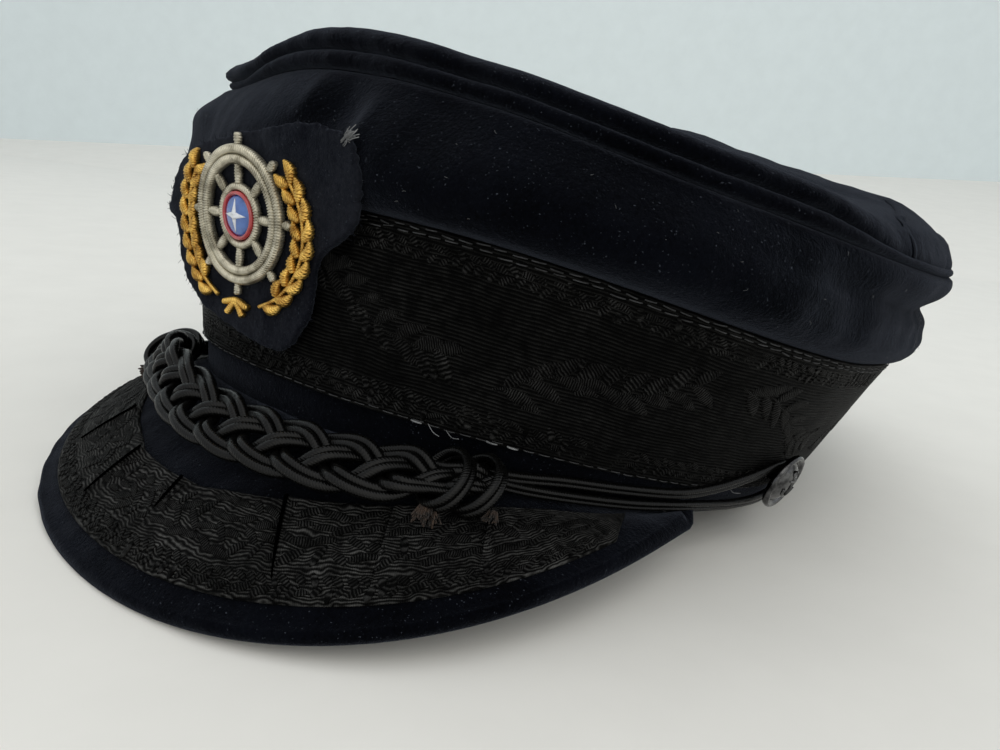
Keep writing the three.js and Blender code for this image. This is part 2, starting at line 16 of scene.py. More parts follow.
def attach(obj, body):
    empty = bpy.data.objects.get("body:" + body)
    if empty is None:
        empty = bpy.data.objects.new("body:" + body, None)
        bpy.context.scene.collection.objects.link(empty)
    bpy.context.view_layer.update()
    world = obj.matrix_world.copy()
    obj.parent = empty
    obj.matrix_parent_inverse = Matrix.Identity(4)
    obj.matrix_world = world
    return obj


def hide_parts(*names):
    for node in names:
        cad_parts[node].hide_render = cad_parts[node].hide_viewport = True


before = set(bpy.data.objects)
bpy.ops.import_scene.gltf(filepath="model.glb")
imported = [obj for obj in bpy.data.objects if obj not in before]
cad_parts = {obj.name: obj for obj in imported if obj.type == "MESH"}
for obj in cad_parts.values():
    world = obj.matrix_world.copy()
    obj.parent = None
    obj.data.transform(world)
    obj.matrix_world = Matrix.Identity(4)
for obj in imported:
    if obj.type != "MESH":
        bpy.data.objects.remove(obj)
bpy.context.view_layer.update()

# %% [markdown]
# ## Measuring round the head
# A cap maker measures round the head and up the wall of the band, and so does this lesson. An angle of 0 is
# the front, 90 the wearer's left and 180 the back. The head opening is an oval, squared a little, and the
# band leans outwards at the sides and behind. Everything could be placed in metres at once, but the cap is
# far easier to measure while it stands level. So it is drawn level in millimetres, and one last helper lays
# it down on its peak and turns it into metres.

# %% The wall of the band
HEAD_HALF_WIDTH = 84
HEAD_HALF_LENGTH = 101
HEAD_POWER = 2.25
LEAN_SIDE, LEAN_FRONT, LEAN_BACK = 0.46, 0, 0.18
HEM_SADDLE, HEM_KICK = 7.5, 2.5
REST_TILT = math.radians(6.12)
REST_RIGHT, REST_BACK, REST_LIFT = -1.677, 6.27, 11.5


def hem_height(angle):
    turn = np.radians(angle)
    return HEM_SADDLE * np.cos(2 * turn) - HEM_KICK * np.cos(3 * turn)


def oval(angle, out, height):
    across = np.sin(np.radians(angle))
    along = np.cos(np.radians(angle))
    x = (HEAD_HALF_WIDTH + out) * np.sign(across) * abs(across) ** (2 / HEAD_POWER)
    y = -(HEAD_HALF_LENGTH + out) * np.sign(along) * abs(along) ** (2 / HEAD_POWER)
    return np.stack(np.broadcast_arrays(x, y, height), -1)


def wall_lean(angle):
    across = np.sin(np.radians(angle)) ** 2
    end = np.where(np.cos(np.radians(angle)) > 0, LEAN_FRONT, LEAN_BACK)
    return np.arctan(LEAN_SIDE * across + end * (1 - across))


def on_wall(angle, up, out):
    lean = wall_lean(angle)
    away = up * np.sin(lean) + out * np.cos(lean)
    return oval(angle, away, hem_height(angle) + up * np.cos(lean) - out * np.sin(lean))


def lay_down(points):
    x, y, z = np.moveaxis(np.asarray(points, float), -1, 0)
    cosine, sine = math.cos(REST_TILT), math.sin(REST_TILT)
    laid = [x + REST_RIGHT, y * cosine + z * sine + REST_BACK, z * cosine - y * sine + REST_LIFT]
    laid[2] = np.maximum(laid[2], 0)
    return np.stack(laid, -1) / 1000


print("band hem, front and back", lay_down(on_wall(0.0, 0.0, 0.0)), lay_down(on_wall(180.0, 0.0, 0.0)))

# %% [markdown]
# ## The camera
# The picture was taken from the front left, a quarter of a metre away, a little from above, with a wide lens
# that makes the peak loom. A long lens from further off would flatten the cap, so the distance matters as
# much as the angle. The eye, the point looked at and a small roll were found by matching the band's hem,
# the ribbon and the rim of the peak.

# %% Camera
EYE = Vector((0.15172, -0.19179, 0.09053))
LOOK_AT = Vector((-0.00710, 0.00186, 0.01939))
ROLL = math.radians(-5.60)
SENSOR = 36
FOCAL_PIXELS, PICTURE_WIDTH = 765.55, 1000


def aim(eye, target, roll):
    forward = (target - eye).normalized()
    right = forward.cross(Vector((0, 0, 1))).normalized()
    up = right.cross(forward)
    rolled_right = right * math.cos(roll) - up * math.sin(roll)
    rolled_up = right * math.sin(roll) + up * math.cos(roll)
    turn = Matrix((rolled_right, rolled_up, -forward)).transposed()
    return Matrix.Translation(eye) @ turn.to_4x4()


view = bpy.data.cameras.new("picture_view")
view.sensor_width = SENSOR
view.lens = SENSOR * FOCAL_PIXELS / PICTURE_WIDTH
view.clip_start = 0.01
camera = bpy.data.objects.new("picture_view", view)
bpy.context.scene.collection.objects.link(camera)
camera.matrix_world = aim(EYE, LOOK_AT, ROLL)
bpy.context.scene.camera = camera
print("lens", round(view.lens, 2), "mm")

# %% [markdown]
# ## How every piece is built
# Cloth, cord and thread have one thing in common: each is a closed skin drawn along a path. A ribbon is a
# long flat loop carried round the head, a cord is a round one, a stitch is a short one closed at both ends.
# Curves with a bevel could do the cords, but not the cloth, so one small tool does both. It takes rows of
# points, joins each row to the next, and closes the ends. Each corner also gets its place on the cloth in
# millimetres, so that a weave can be laid on it later.

# %% The piece maker
class Cutting:
    """Skins laid one after another, which become one mesh."""

    def __init__(self):
        self.points, self.faces, self.marks = [], [], []
        self.count = 0

    def skin(self, rings, along, across, endless=False):
        """rings has rows of points round the skin; along and across are places on the cloth in mm."""
        rows, sides = rings.shape[:2]
        numbers = self.count + np.arange(rows * sides).reshape(rows, sides)
        walk = np.vstack([numbers, numbers[:1]]) if endless else numbers
        walk = np.hstack([walk, walk[:, :1]])
        marks = np.stack(np.broadcast_arrays(np.asarray(along)[:, None], across), -1)
        corners = [np.s_[:-1, :-1], np.s_[1:, :-1], np.s_[1:, 1:], np.s_[:-1, 1:]]
        self.faces.append(np.stack([walk[c] for c in corners], -1).reshape(-1, 4))
        self.marks.append(np.stack([marks[c] for c in corners], 2).reshape(-1, 4, 2))
        if not endless:
            self.close(numbers[0], marks[0, :-1])
            self.close(numbers[-1, ::-1], marks[-1, -2::-1])
        self.points.append(rings.reshape(-1, 3))
        self.count += rows * sides

    def close(self, ring, marks):
        """Strips of faces across the end of a skin."""
        last = len(ring) - 1
        for near in range(len(ring) // 2 - 1):
            corners = [near, near + 1, last - 1 - near, last - near]
            self.faces.append(ring[corners][None])
            self.marks.append(marks[corners][None])

    def piece(self, name, finish, slot, *nodes):
        """The finished mesh object, laid down with the cap, riding on it and standing for its nodes."""
        points = lay_down(np.concatenate(self.points))
        faces = np.concatenate(self.faces)
        mesh = bpy.data.meshes.new(name)
        mesh.vertices.add(len(points))
        mesh.vertices.foreach_set("co", points.ravel())
        mesh.loops.add(faces.size)
        mesh.loops.foreach_set("vertex_index", faces.ravel().astype(np.int32))
        mesh.polygons.add(len(faces))
        mesh.polygons.foreach_set("loop_start", np.arange(0, faces.size, 4, dtype=np.int32))
        cloth = mesh.uv_layers.new(name="cloth")
        cloth.data.foreach_set("uv", np.concatenate(self.marks).ravel())
        mesh.update(calc_edges=True)
        mesh.validate()
        mesh.shade_smooth()
        mesh.materials.append(finish)
        made = bpy.data.objects.new(name, mesh)
        bpy.context.scene.collection.objects.link(made)
        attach(made, "root")
        if nodes:
            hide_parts(*nodes)
        print(name, len(faces), "faces")
        return made


# %% [markdown]
# Nothing sewn is quite regular. A noise texture could displace the finished mesh, but then stitches and
# leaves would lose their cloth. So the unevenness is added while a piece is drawn: a sum of a few slow waves,
# with directions drawn from a fixed seed, which is the same each time. It is read at points in space, so it
# has no seam where a piece that goes round the head meets itself.

# %% Ripples and small curves
def ripples(points, wavelength, seed, count=14):
    """Slow waves through space, about as high as 1, at some points in millimetres."""
    draw = np.random.default_rng(seed)
    ways = draw.normal(size=(count, 3))
    ways /= np.linalg.norm(ways, axis=1, keepdims=True)
    lengths = wavelength * draw.uniform(0.7, 1.6, count)
    starts = draw.uniform(0, 2 * np.pi, count)
    waves = np.sin(points @ (ways / lengths[:, None] * 2 * np.pi).T + starts)
    return waves.sum(-1) / math.sqrt(count)


def ease(value, start, end):
    """0 before the start, 1 after the end, and a soft step between them."""
    share = np.clip((value - start) / (end - start), 0, 1)
    return share * share * (3 - 2 * share)


def unit(vectors):
    return vectors / np.maximum(np.linalg.norm(vectors, axis=-1, keepdims=True), 1e-9)


def lengths_along(path):
    return np.concatenate([[0], np.cumsum(np.linalg.norm(np.diff(path, axis=0), axis=1))])


def smooth_path(points, count):
    """A round curve through a few points, with even steps."""
    points = np.asarray(points, float)
    full = np.vstack([2 * points[0] - points[1], points, 2 * points[-1] - points[-2]])
    share = np.linspace(0, 1, 24, endpoint=False)[:, None]
    line = []
    for before, here, there, after in zip(full[:-3], full[1:-2], full[2:-1], full[3:]):
        bend = 2 * here - 2 * there + (there - before) / 2 + (after - here) / 2
        pull = 3 * (there - here) - (there - before) - (after - here) / 2
        line.append(((bend * share + pull) * share + (there - before) / 2) * share + here)
    line = np.vstack(line + [points[-1:]])
    length = lengths_along(line)
    even = np.linspace(0, length[-1], count)
    return np.stack([np.interp(even, length, line[:, axis]) for axis in range(3)], -1)


print("ripple test", np.round(ripples(np.eye(3) * 40, 30, 1), 2))

# %% [markdown]
# Cords, threads and hairs are all drawn alike. A cord needs a direction along it and two across it at every
# step. They could be carried along the curve from its start, but then a flat cord would slowly twist. So the
# first across is taken from whatever the cord lies on, which keeps a flat cord flat on the cloth.

# %% Cords
def cord_rings(path, outward, wide, high=None, sides=10, endless=False):
    """Rows of points round a cord: wide across the surface it lies on, high away from it."""
    high = wide if high is None else high
    if endless:
        run = unit(np.roll(path, -1, axis=0) - np.roll(path, 1, axis=0))
    else:
        run = unit(np.gradient(path, axis=0))
    aside = unit(np.cross(run, outward))
    lift = np.cross(aside, run)
    turn = np.linspace(0, 2 * np.pi, sides, endpoint=False)
    wide = np.broadcast_to(wide, len(path))[:, None, None]
    high = np.broadcast_to(high, len(path))[:, None, None]
    spread = aside[:, None] * np.cos(turn)[None, :, None] * wide
    return path[:, None] + spread + lift[:, None] * np.sin(turn)[None, :, None] * high


def lay_cord(cutting, path, outward, wide, high=None, sides=10, endless=False):
    """A cord as one more skin, with its places on the cloth along it and round it."""
    rings = cord_rings(path, outward, wide, high, sides, endless)
    along = lengths_along(np.vstack([path, path[:1]]) if endless else path)
    girth = 2 * np.pi * float(np.max(wide))
    cutting.skin(rings, along, np.linspace(0, girth, sides + 1)[None], endless)


flat_cord = cord_rings(np.array([[0, 0, 0], [0, 9, 0], [0, 18, 0.0]]), np.array([0, 0, 1.0]), 1.5, 0.5)
print("a flat cord, wide, long and high", np.round(np.ptp(flat_cord, axis=(0, 1)), 1))

# %% [markdown]
# ## Finishes
# Each finish is a small recipe of nodes: cloth, cord, thread, metal and enamel differ in colour, gloss and
# fine relief. They could be painted as pictures, but nodes stay sharp however near the eye comes. A recipe
# helper keeps the wiring short, so that a finish can be read like a list.

# %% Recipe helper
class Recipe:
    """A material whose nodes are added one by one."""

    def __init__(self, name, colour, roughness, **sockets):
        self.material = bpy.data.materials.new(name)
        self.material.use_nodes = True
        self.tree = self.material.node_tree
        self.shader = self.tree.nodes["Principled BSDF"]
        self.set("Base Color", (*colour, 1))
        self.set("Roughness", roughness)
        for socket, value in sockets.items():
            self.set(socket.replace("_", " "), value)

    def set(self, socket, value):
        self.wire(self.shader.inputs[socket], value)

    def wire(self, socket, value):
        if isinstance(value, bpy.types.NodeSocket):
            self.tree.links.new(value, socket)
        else:
            socket.default_value = value

    def node(self, kind, output, inputs, **settings):
        made = self.tree.nodes.new(kind)
        for setting, value in settings.items():
            setattr(made, setting, value)
        for socket, value in inputs.items():
            self.wire(made.inputs[socket], value)
        return made.outputs[output]

    def place(self):
        return self.node("ShaderNodeTexCoord", "Object", {})

    def cloth(self):
        """Places on the cloth: along and across, in millimetres."""
        marks = self.node("ShaderNodeUVMap", "UV", {}, uv_map="cloth")
        parts = self.node("ShaderNodeSeparateXYZ", "X", {"Vector": marks})
        return parts, parts.node.outputs["Y"]

    def noise(self, scale, detail=2.0, rough=0.5):
        inputs = {"Vector": self.place(), "Scale": scale, "Detail": detail, "Roughness": rough}
        return self.node("ShaderNodeTexNoise", "Fac", inputs)

    def maths(self, operation, first, second=0.0, third=0.0):
        inputs = {0: first, 1: second, 2: third}
        return self.node("ShaderNodeMath", "Value", inputs, operation=operation)

    def spread(self, value, low, high, start, end):
        """A value from low to high, spread out from start to end."""
        inputs = {"Value": value, "From Min": low, "From Max": high, "To Min": start, "To Max": end}
        return self.node("ShaderNodeMapRange", "Result", inputs)

    def blend(self, share, first, second):
        """The first colour at share 0, the second at share 1."""
        made = self.tree.nodes.new("ShaderNodeMix")
        made.data_type = "RGBA"
        for socket, value in ((0, share), (6, first), (7, second)):
            value = (*value, 1) if isinstance(value, tuple) and len(value) == 3 else value
            self.wire(made.inputs[socket], value)
        return made.outputs[2]

    def stripes(self, value, pitch):
        """A wave from 0 to 1 that repeats every pitch."""
        turn = self.maths("MULTIPLY", value, 2 * math.pi / pitch)
        return self.maths("MULTIPLY_ADD", self.maths("SINE", turn), 0.5, 0.5)

    def bump(self, height, distance, strength=1.0, under=None):
        inputs = {"Height": height, "Distance": distance, "Strength": strength}
        if under is not None:
            inputs["Normal"] = under
        return self.node("ShaderNodeBump", "Normal", inputs)


# %% [markdown]
# ## Wool and felt
# The wool is almost black, but its nap scatters light at grazing angles, and its surface is felted: fibres
# lie in all directions. Hair particles could show each fibre, at the cost of millions of them. At this
# distance sheen gives the nap, and a fine noise moves both colour and bump. The felt under the badge is the
# same cloth, a little paler and drier.

# %% Wool and felt
WOOL_DARK, WOOL_LIGHT, WOOL_SHEEN = (0.0002, 0.0003, 0.0008), (0.0022, 0.0027, 0.0046), 0.13
FELT_DARK, FELT_LIGHT, FELT_SHEEN = (0.0030, 0.0034, 0.0056), (0.014, 0.0155, 0.020), 0.09
NAP_TINT, SPECK = (0.55, 0.62, 0.80, 1), (0.035, 0.040, 0.050)


def wool_finish(name, dark, light, sheen):
    """Felted wool between two colours, with a few pale specks."""
    wool = Recipe(name, dark, 0.92, Sheen_Weight=sheen, Sheen_Roughness=0.36)
    wool.set("Sheen Tint", NAP_TINT)
    wool.set("Specular IOR Level", 0.02)
    fibres = wool.noise(1050, 5.0, 0.75)
    blotches = wool.noise(42, 3.0, 0.6)
    mottled = wool.maths("MULTIPLY_ADD", wool.spread(blotches, 0.3, 0.7, -0.2, 0.25), 1.0, fibres)
    colour = wool.blend(wool.spread(mottled, 0.3, 0.85, 0.0, 1.0), dark, light)
    specks = wool.spread(wool.noise(1900, 1.0, 0.5), 0.70, 0.78, 0.0, 0.9)
    wool.set("Base Color", wool.blend(specks, colour, SPECK))
    felted = wool.bump(fibres, 0.0004, 0.8)
    soft = wool.bump(wool.noise(260, 3.0, 0.6), 0.0006, 0.35, felted)
    wool.set("Normal", soft)
    return wool.material


wool = wool_finish("navy_wool", WOOL_DARK, WOOL_LIGHT, WOOL_SHEEN)
felt = wool_finish("navy_felt", FELT_DARK, FELT_LIGHT, FELT_SHEEN)
print("wool and felt ready")

# %% [markdown]
# ## The band
# The band is a strip of the same wool, folded up at the hem. Only a centimetre of it shows under the ribbon.
# A flat sheet with a thickness added would have a sharp hem, so the strip is drawn as what it is: a flat loop
# with a round hem, carried round the head. Ripples a fraction of a millimetre deep make it cloth.

# %% Head band
BAND_WIDTH, BAND_THICK, BAND_ROWS = 52, 2.5, 22
BAND_SWAY, BAND_WAVE = 0.22, 22
MEASURE_UP = 20.0
WALL_ANGLES = np.linspace(0, 360, 480, endpoint=False)


def wall_distance(up):
    """Length round the wall in mm from the front, at a height up it, for each wall angle and back again."""
    angles = np.append(WALL_ANGLES, 360.0)
    return angles, lengths_along(on_wall(angles, up, 0.0))


wall_outward = unit(on_wall(WALL_ANGLES, MEASURE_UP, 1.0) - on_wall(WALL_ANGLES, MEASURE_UP, 0.0))[:, None]
half_thick = BAND_THICK / 2
hem_turn = np.radians(np.linspace(0, -180, 7))
outer_up = np.linspace(half_thick, BAND_WIDTH, BAND_ROWS)
hem_up, hem_out = half_thick + half_thick * np.sin(hem_turn), -half_thick + half_thick * np.cos(hem_turn)
band_up = np.concatenate([outer_up[::-1], hem_up, outer_up])
band_out = np.concatenate([np.zeros(BAND_ROWS), hem_out, np.full(BAND_ROWS, -BAND_THICK)])
rings = on_wall(WALL_ANGLES[:, None], band_up[None], band_out[None])
rings = rings + wall_outward * (BAND_SWAY * ripples(rings, BAND_WAVE, 1))[..., None]
round_head = wall_distance(MEASURE_UP)[1]
head_band = Cutting()
head_band.skin(rings[:, ::-1], round_head, np.append(band_up, band_up[0])[None, ::-1], True)
head_band.piece("wool_head_band", wool, "wool", "head_band")
print("round the head", round(round_head[-1]), "mm")

# %% [markdown]
# ## The woven ribbon
# The ribbon is woven, with ribs that run its whole length about a millimetre apart, and with leaves that
# stand on them in satin stitches. Both are real relief in the mesh, because light catches their sides. The
# finish adds crosswise threads, too fine for that, and a painted highlight: the crests of ribs and threads
# get a lighter base colour, broken up in patches. The same recipe serves the peak, where the ribs sway and
# the painted highlight is brighter because that ribbon faces up, and the leaves, which have threads only.

# %% Ribbon finishes
RIB_PITCH = 0.837
RIBBON_DARK = (0.0006, 0.0006, 0.0006)


def ribbon_finish(name, light, pitch, sway, depth, ribbed):
    """Ribs along the ribbon that sway by some mm, crossed by fine threads, with a painted highlight on their
    crests broken up in patches.
    """
    ribbon = Recipe(name, RIBBON_DARK, 0.5, Sheen_Weight=0.01, Sheen_Roughness=0.35)
    ribbon.set("Specular IOR Level", 0.022)
    along, across = ribbon.cloth()
    drift = ribbon.maths("MULTIPLY", ribbon.maths("SUBTRACT", ribbon.noise(150, 2.0, 0.55), 0.5), 2 * sway)
    from_crest = ribbon.maths("ADD", across, 0.75 * RIB_PITCH)
    crests = ribbon.stripes(ribbon.maths("ADD", from_crest, drift), RIB_PITCH)
    wander = ribbon.maths("MULTIPLY_ADD", ribbon.noise(700, 2.0), 0.5, along)
    threads = ribbon.stripes(wander, pitch)
    crosswise = ribbon.maths("MULTIPLY", threads, 1.0 - ribbed)
    weave = ribbon.maths("ADD", ribbon.maths("MULTIPLY", crests, ribbed), crosswise)
    # Painted highlight: the crests of ribs and threads get the lighter colour, broken up by two noises.
    highlight_breaks = ribbon.spread(ribbon.noise(420, 4.0, 0.7), 0.36, 0.66, 0.15, 1.0)
    blotches = ribbon.spread(ribbon.noise(55, 3.0, 0.6), 0.35, 0.7, 0.45, 1.0)
    highlight_share = ribbon.maths("MULTIPLY", highlight_breaks, blotches)
    painted_highlight = ribbon.maths("MULTIPLY", highlight_share, ribbon.maths("POWER", weave, 1.8))
    ribbon.set("Base Color", ribbon.blend(painted_highlight, RIBBON_DARK, light))
    ribbon.set("Normal", ribbon.bump(weave, depth, 0.9))
    return ribbon.material


# The second value of each is the colour of the painted highlight on crests and threads.
ribbon_ground = ribbon_finish("ribbed_ribbon", (0.019, 0.019, 0.018), 0.42, 0.35, 0.00020, 0.8)
# The peak's ribbon is the same ribbon, given a brighter painted highlight because it faces up.
peak_ground = ribbon_finish("swaying_ribbon", (0.085, 0.085, 0.082), 0.42, 2.6, 0.00028, 0.85)
ribbon_satin = ribbon_finish("satin_leaves", (0.040, 0.040, 0.039), 0.50, 0.0, 0.00024, 0.0)
print("three ribbon finishes, ribs", RIB_PITCH, "mm apart")

# %% [markdown]
# ### The ribbon round the band
# The ribbon is four centimetres wide and sewn flat on the band. It could be a plain strip with its ribs
# painted on, but then its edges and its grazing light would give it away. So it is one loop, like the band,
# whose outer side is rippled across with four columns to a rib.

# %% Ribbon ground on the band
RIBBON_FROM, RIBBON_WIDTH, RIB_CREST, SELVEDGE = 9.5, 41.0, 0.26, (0.6, 1.5)
RIBBON_FACE, RIBBON_EDGE, RIBBON_BACK, BACK_COLUMNS = 0.92, 0.55, 0.3, 6
STRAY, LUMPY = 0.16, 0.10


def ribbon_relief(across, width, crest):
    """Height of the ribs across the ribbon, with flat selvedges at both edges."""
    ribs = 0.5 - 0.5 * np.cos(2 * np.pi * across / RIB_PITCH)
    selvedge = ease(across, *SELVEDGE) * ease(width - across, *SELVEDGE)
    return crest * ribs * selvedge


ribs = round(RIBBON_WIDTH / RIB_PITCH)
across = np.linspace(0, RIBBON_WIDTH, ribs * 4 + 1)
outer = np.full(len(across), RIBBON_FACE)
outer[0] = outer[-1] = RIBBON_EDGE
back = np.linspace(RIBBON_WIDTH, 0, BACK_COLUMNS)
ribbon_up = RIBBON_FROM + np.concatenate([across, back])
relief = ribbon_relief(across, RIBBON_WIDTH, RIB_CREST)
ribbon_out = np.concatenate([outer + relief, np.full(BACK_COLUMNS, RIBBON_BACK)])
band_ribbon = Cutting()
waves = on_wall(WALL_ANGLES[:, None], ribbon_up[None], 0.0)
stray = STRAY * ripples(waves, 13, 5) * ease(ribbon_up, 10, 14) * ease(-ribbon_up, -50, -46)
rings = on_wall(WALL_ANGLES[:, None], ribbon_up[None] + stray, ribbon_out[None])
rings += wall_outward * (LUMPY * ripples(waves, 17, 6))[..., None]
marks = np.append(ribbon_up, ribbon_up[0])[None] - RIBBON_FROM
band_ribbon.skin(rings, round_head, marks, True)
ribbon_on_band = band_ribbon.piece("band_ribbon_ground", ribbon_ground, "ribbon", "band_ribbon")


# %% [markdown]
# The leaves are woven in satin: long threads side by side, which stand a little proud and shine. A bump
# texture could fake them from afar. Here each is a thin lens with its own curve, laid on the ribbon by a
# helper that knows the ribbon's surface, and all of them are one mesh. Two slanted rows make the border along
# each edge, and slanted laurel sprays fill the middle.

# %% Leaf helpers
RIBBON_TOP = 1.08


def ribbon_place(along, up, out):
    """A point on the band's ribbon: mm round the head from the front, mm up the ribbon, mm off it."""
    angles, distance = wall_distance(MEASURE_UP)
    angle = np.interp(np.mod(along, distance[-1]), distance, angles)
    return on_wall(angle, RIBBON_FROM + up, RIBBON_TOP + out)


def lay_leaves(cutting, surface, leaves, rows=8, sides=6):
    """leaves has rows of along, up, length, width, lean and height."""
    along, up, length, width, lean, high = np.asarray(leaves, float).T[:, :, None, None]
    run = np.linspace(0, 1, rows)[None, :, None]
    turn = np.linspace(0, 2 * np.pi, sides, endpoint=False)[None, None]
    fat = np.sin(np.pi * (0.03 + 0.94 * run ** 0.85)) ** 0.75
    forth = (run - 0.5) * length
    aside = -width / 2 * fat * np.cos(turn) + 0.12 * width * np.sin(np.pi * run)
    on_along = along + forth * np.cos(lean) - aside * np.sin(lean)
    on_up = up + forth * np.sin(lean) + aside * np.cos(lean)
    points = surface(on_along, on_up, high * fat * np.sin(turn))
    for leaf, place, lift in zip(points, on_along, on_up):
        closed = np.concatenate([lift, lift[:, :1]], 1)
        cutting.skin(leaf, place.mean(1), closed)


def border(start, end, low, high, pitch, length, width, rise, draw):
    """Two slanted rows of small leaves between two heights."""
    leaves = []
    for place in np.arange(start, end, pitch):
        for side in (-1, 1):
            middle = (low + high) / 2 + side * (high - low) / 4 + draw.normal(0, 0.22)
            size = length * draw.uniform(0.75, 1.2)
            turn = -side * draw.normal(0.8, 0.28)
            along = place + side * pitch / 4 + draw.normal(0, 0.3)
            broad, lift = width * draw.uniform(0.8, 1.25), rise * draw.uniform(0.5, 1.2)
            leaves.append((along, middle, size, broad, turn, lift))
    return leaves


def spray(start, low, high, reach, draw, rise):
    """A stem that leans across the ribbon, with pairs of broad leaves and a few acorns."""
    lean = math.atan2(high - low, reach)
    leaves = []
    for share in np.linspace(0.0, 1.0, 9):
        along, up = start + reach * share, low + (high - low) * share + 2.4 * math.sin(2 * math.pi * share)
        for side in (1, -1):
            turn = lean + side * draw.uniform(0.35, 0.85)
            size = draw.uniform(7.5, 10.5) * (1 - 0.2 * share)
            middle = (along + 0.5 * size * math.cos(turn), up + 0.5 * size * math.sin(turn))
            leaves.append((*middle, size, draw.uniform(2.6, 3.6), turn, rise * draw.uniform(0.7, 1.1)))
            if draw.uniform() < 0.45:
                nut = (middle[0] + draw.normal(2.0, 0.8), middle[1] + side * draw.uniform(0.8, 1.8))
                leaves.append((*nut, 3.4, 2.0, turn + draw.normal(0, 0.4), rise))
        leaves.append((along, up, 5.5, 0.7, lean, rise * 0.8))
    return leaves


print("top of the ribbon in front", np.round(ribbon_place(0.0, 41.0, 0.0), 1))

# %% [markdown]
# The leaves of the band are laid out in millimetres, as if the ribbon lay flat on the table: two borders
# first, then twelve sprays that rise and fall in turn.

# %% Leaves on the band ribbon
SPRAYS, SPRAY_REACH, LEAF_RISE = 12, 38, 0.24
RISING, FALLING = (13.0, 26.0), (28.0, 17.0)
draw = np.random.default_rng(11)
leaves = border(0, round_head[-1] - 1, 1.6, 6.8, 2.6, 3.6, 1.6, 0.15, draw)
leaves += border(0, round_head[-1] - 1, 34.2, 38.2, 2.6, 3.2, 1.5, 0.15, draw)
for number in range(SPRAYS):
    start = 9 + number * round_head[-1] / SPRAYS
    leaves += spray(start, *(RISING if number % 2 else FALLING), SPRAY_REACH, draw, LEAF_RISE)
band_leaves = Cutting()
lay_leaves(band_leaves, ribbon_place, leaves)
band_leaves.piece("band_ribbon_leaves", ribbon_satin, "ribbon")
print(len(leaves), "leaves on the band")

# %% [markdown]
# ## The crown's side
# The side panel is soft wool. It stands high and full in front, with a pinch beside the badge where the maker
# eased it in, and it has slumped at the back left. A cloth simulation would slump too, but never in the way
# this cap has, so its form is given. Its height, how far out the seam is, how much it bulges and how
# thick its corded seam is, stand in one row for every thirty degrees, and a smooth curve joins them. Folds
# are soft hollows: their angle, how wide they are, how far up, how long and how deep.

# %% Form of the crown's side
CROWN_STEP = 30
CROWN_ROWS = np.array([
    (84.2, -5.0, 7.6, 9.4), (79.2, -3.5, 8.6, 8.4), (68.7, 2.3, 8.1, 8.4), (61.8, 9.2, 5.0, 9.0),
    (67.0, 4.5, 8.0, 9.0), (72.1, -1.9, 14.3, 9.0), (81.2, -1.7, 15.0, 6.7), (83.9, 0.1, 13.1, 6.5),
    (83.4, 2.4, 9.4, 6.4), (83.5, 1.8, 6.0, 6.4), (83.4, -2.6, 5.8, 6.2), (81.2, -7.0, 4.2, 5.8),
])
SIDE_FOOT, SIDE_START, FULL_ANGLE = 52.4, 50.3, 312
FOLDS = (
    (9, 4.5, 0.66, 0.30, 3.0), (3, 1.5, 0.76, 0.20, -1.0), (14.8, 1.6, 0.58, 0.22, -1.2),
    (27, 6, 0.70, 0.40, 1.6), (100, 26, 0.62, 0.14, 5.4), (100, 30, 0.38, 0.14, 2.8),
    (100, 20, 0.93, 0.13, -1.2),
)
SHOULDER_SPREAD, SHOULDER_UP, SHOULDER_REACH, SHOULDER_RISE = 32, 0.76, 0.22, 4.4
CLOTH_THICK = 2.0


def crown_row(angle):
    """Seam height, seam out, bulge and ridge at an angle."""
    place = np.asarray(angle, float) / CROWN_STEP
    here = np.floor(place).astype(int)
    share = (place - here)[..., None]
    before, now, then, after = (CROWN_ROWS[(here + step) % len(CROWN_ROWS)] for step in (-1, 0, 1, 2))
    leaving, reaching = (then - before) / 2, (after - now) / 2
    curve = (2 * now - 2 * then + leaving + reaching) * share - 3 * now + 3 * then - 2 * leaving - reaching
    return (curve * share + leaving) * share + now


def side_place(angle, share, proud=0.0):
    """A point on the side panel: share 0 at the ribbon, 1 at the seam."""
    height, seam_out, bulge, ridge = np.moveaxis(crown_row(angle), -1, 0)
    lean = wall_lean(angle)
    out = SIDE_FOOT * np.sin(lean) + seam_out * share + bulge * np.sin(np.pi * share ** 0.68)
    for at, spread, up, reach, depth in FOLDS:
        off = (angle - at + 180) % 360 - 180
        out = out - depth * np.exp(-(off / spread) ** 2 - ((share - up) / reach) ** 2)
    off = ((angle - FULL_ANGLE + 180) % 360 - 180) / SHOULDER_SPREAD
    shoulder = np.exp(-off ** 2 - ((share - SHOULDER_UP) / SHOULDER_REACH) ** 2) * (1 - share ** 8)
    out = out + SHOULDER_RISE * shoulder
    foot = hem_height(angle) + SIDE_START * np.cos(lean)
    return oval(angle, out + proud, foot + (height - foot) * share)


print("seam height in front and behind", crown_row(0.0)[0], crown_row(180.0)[0])

# %% [markdown]
# ### The side panel
# The panel is drawn as a loop of cloth two millimetres thick: up the outside, over the seam, and down the
# inside. Its foot tucks in under the ribbon's edge. A thickness modifier would give the same loop but not
# the tucked foot and the rounded top. Two sizes of ripple leave the wool a little lumpy, most of all halfway
# up, where nothing holds it.

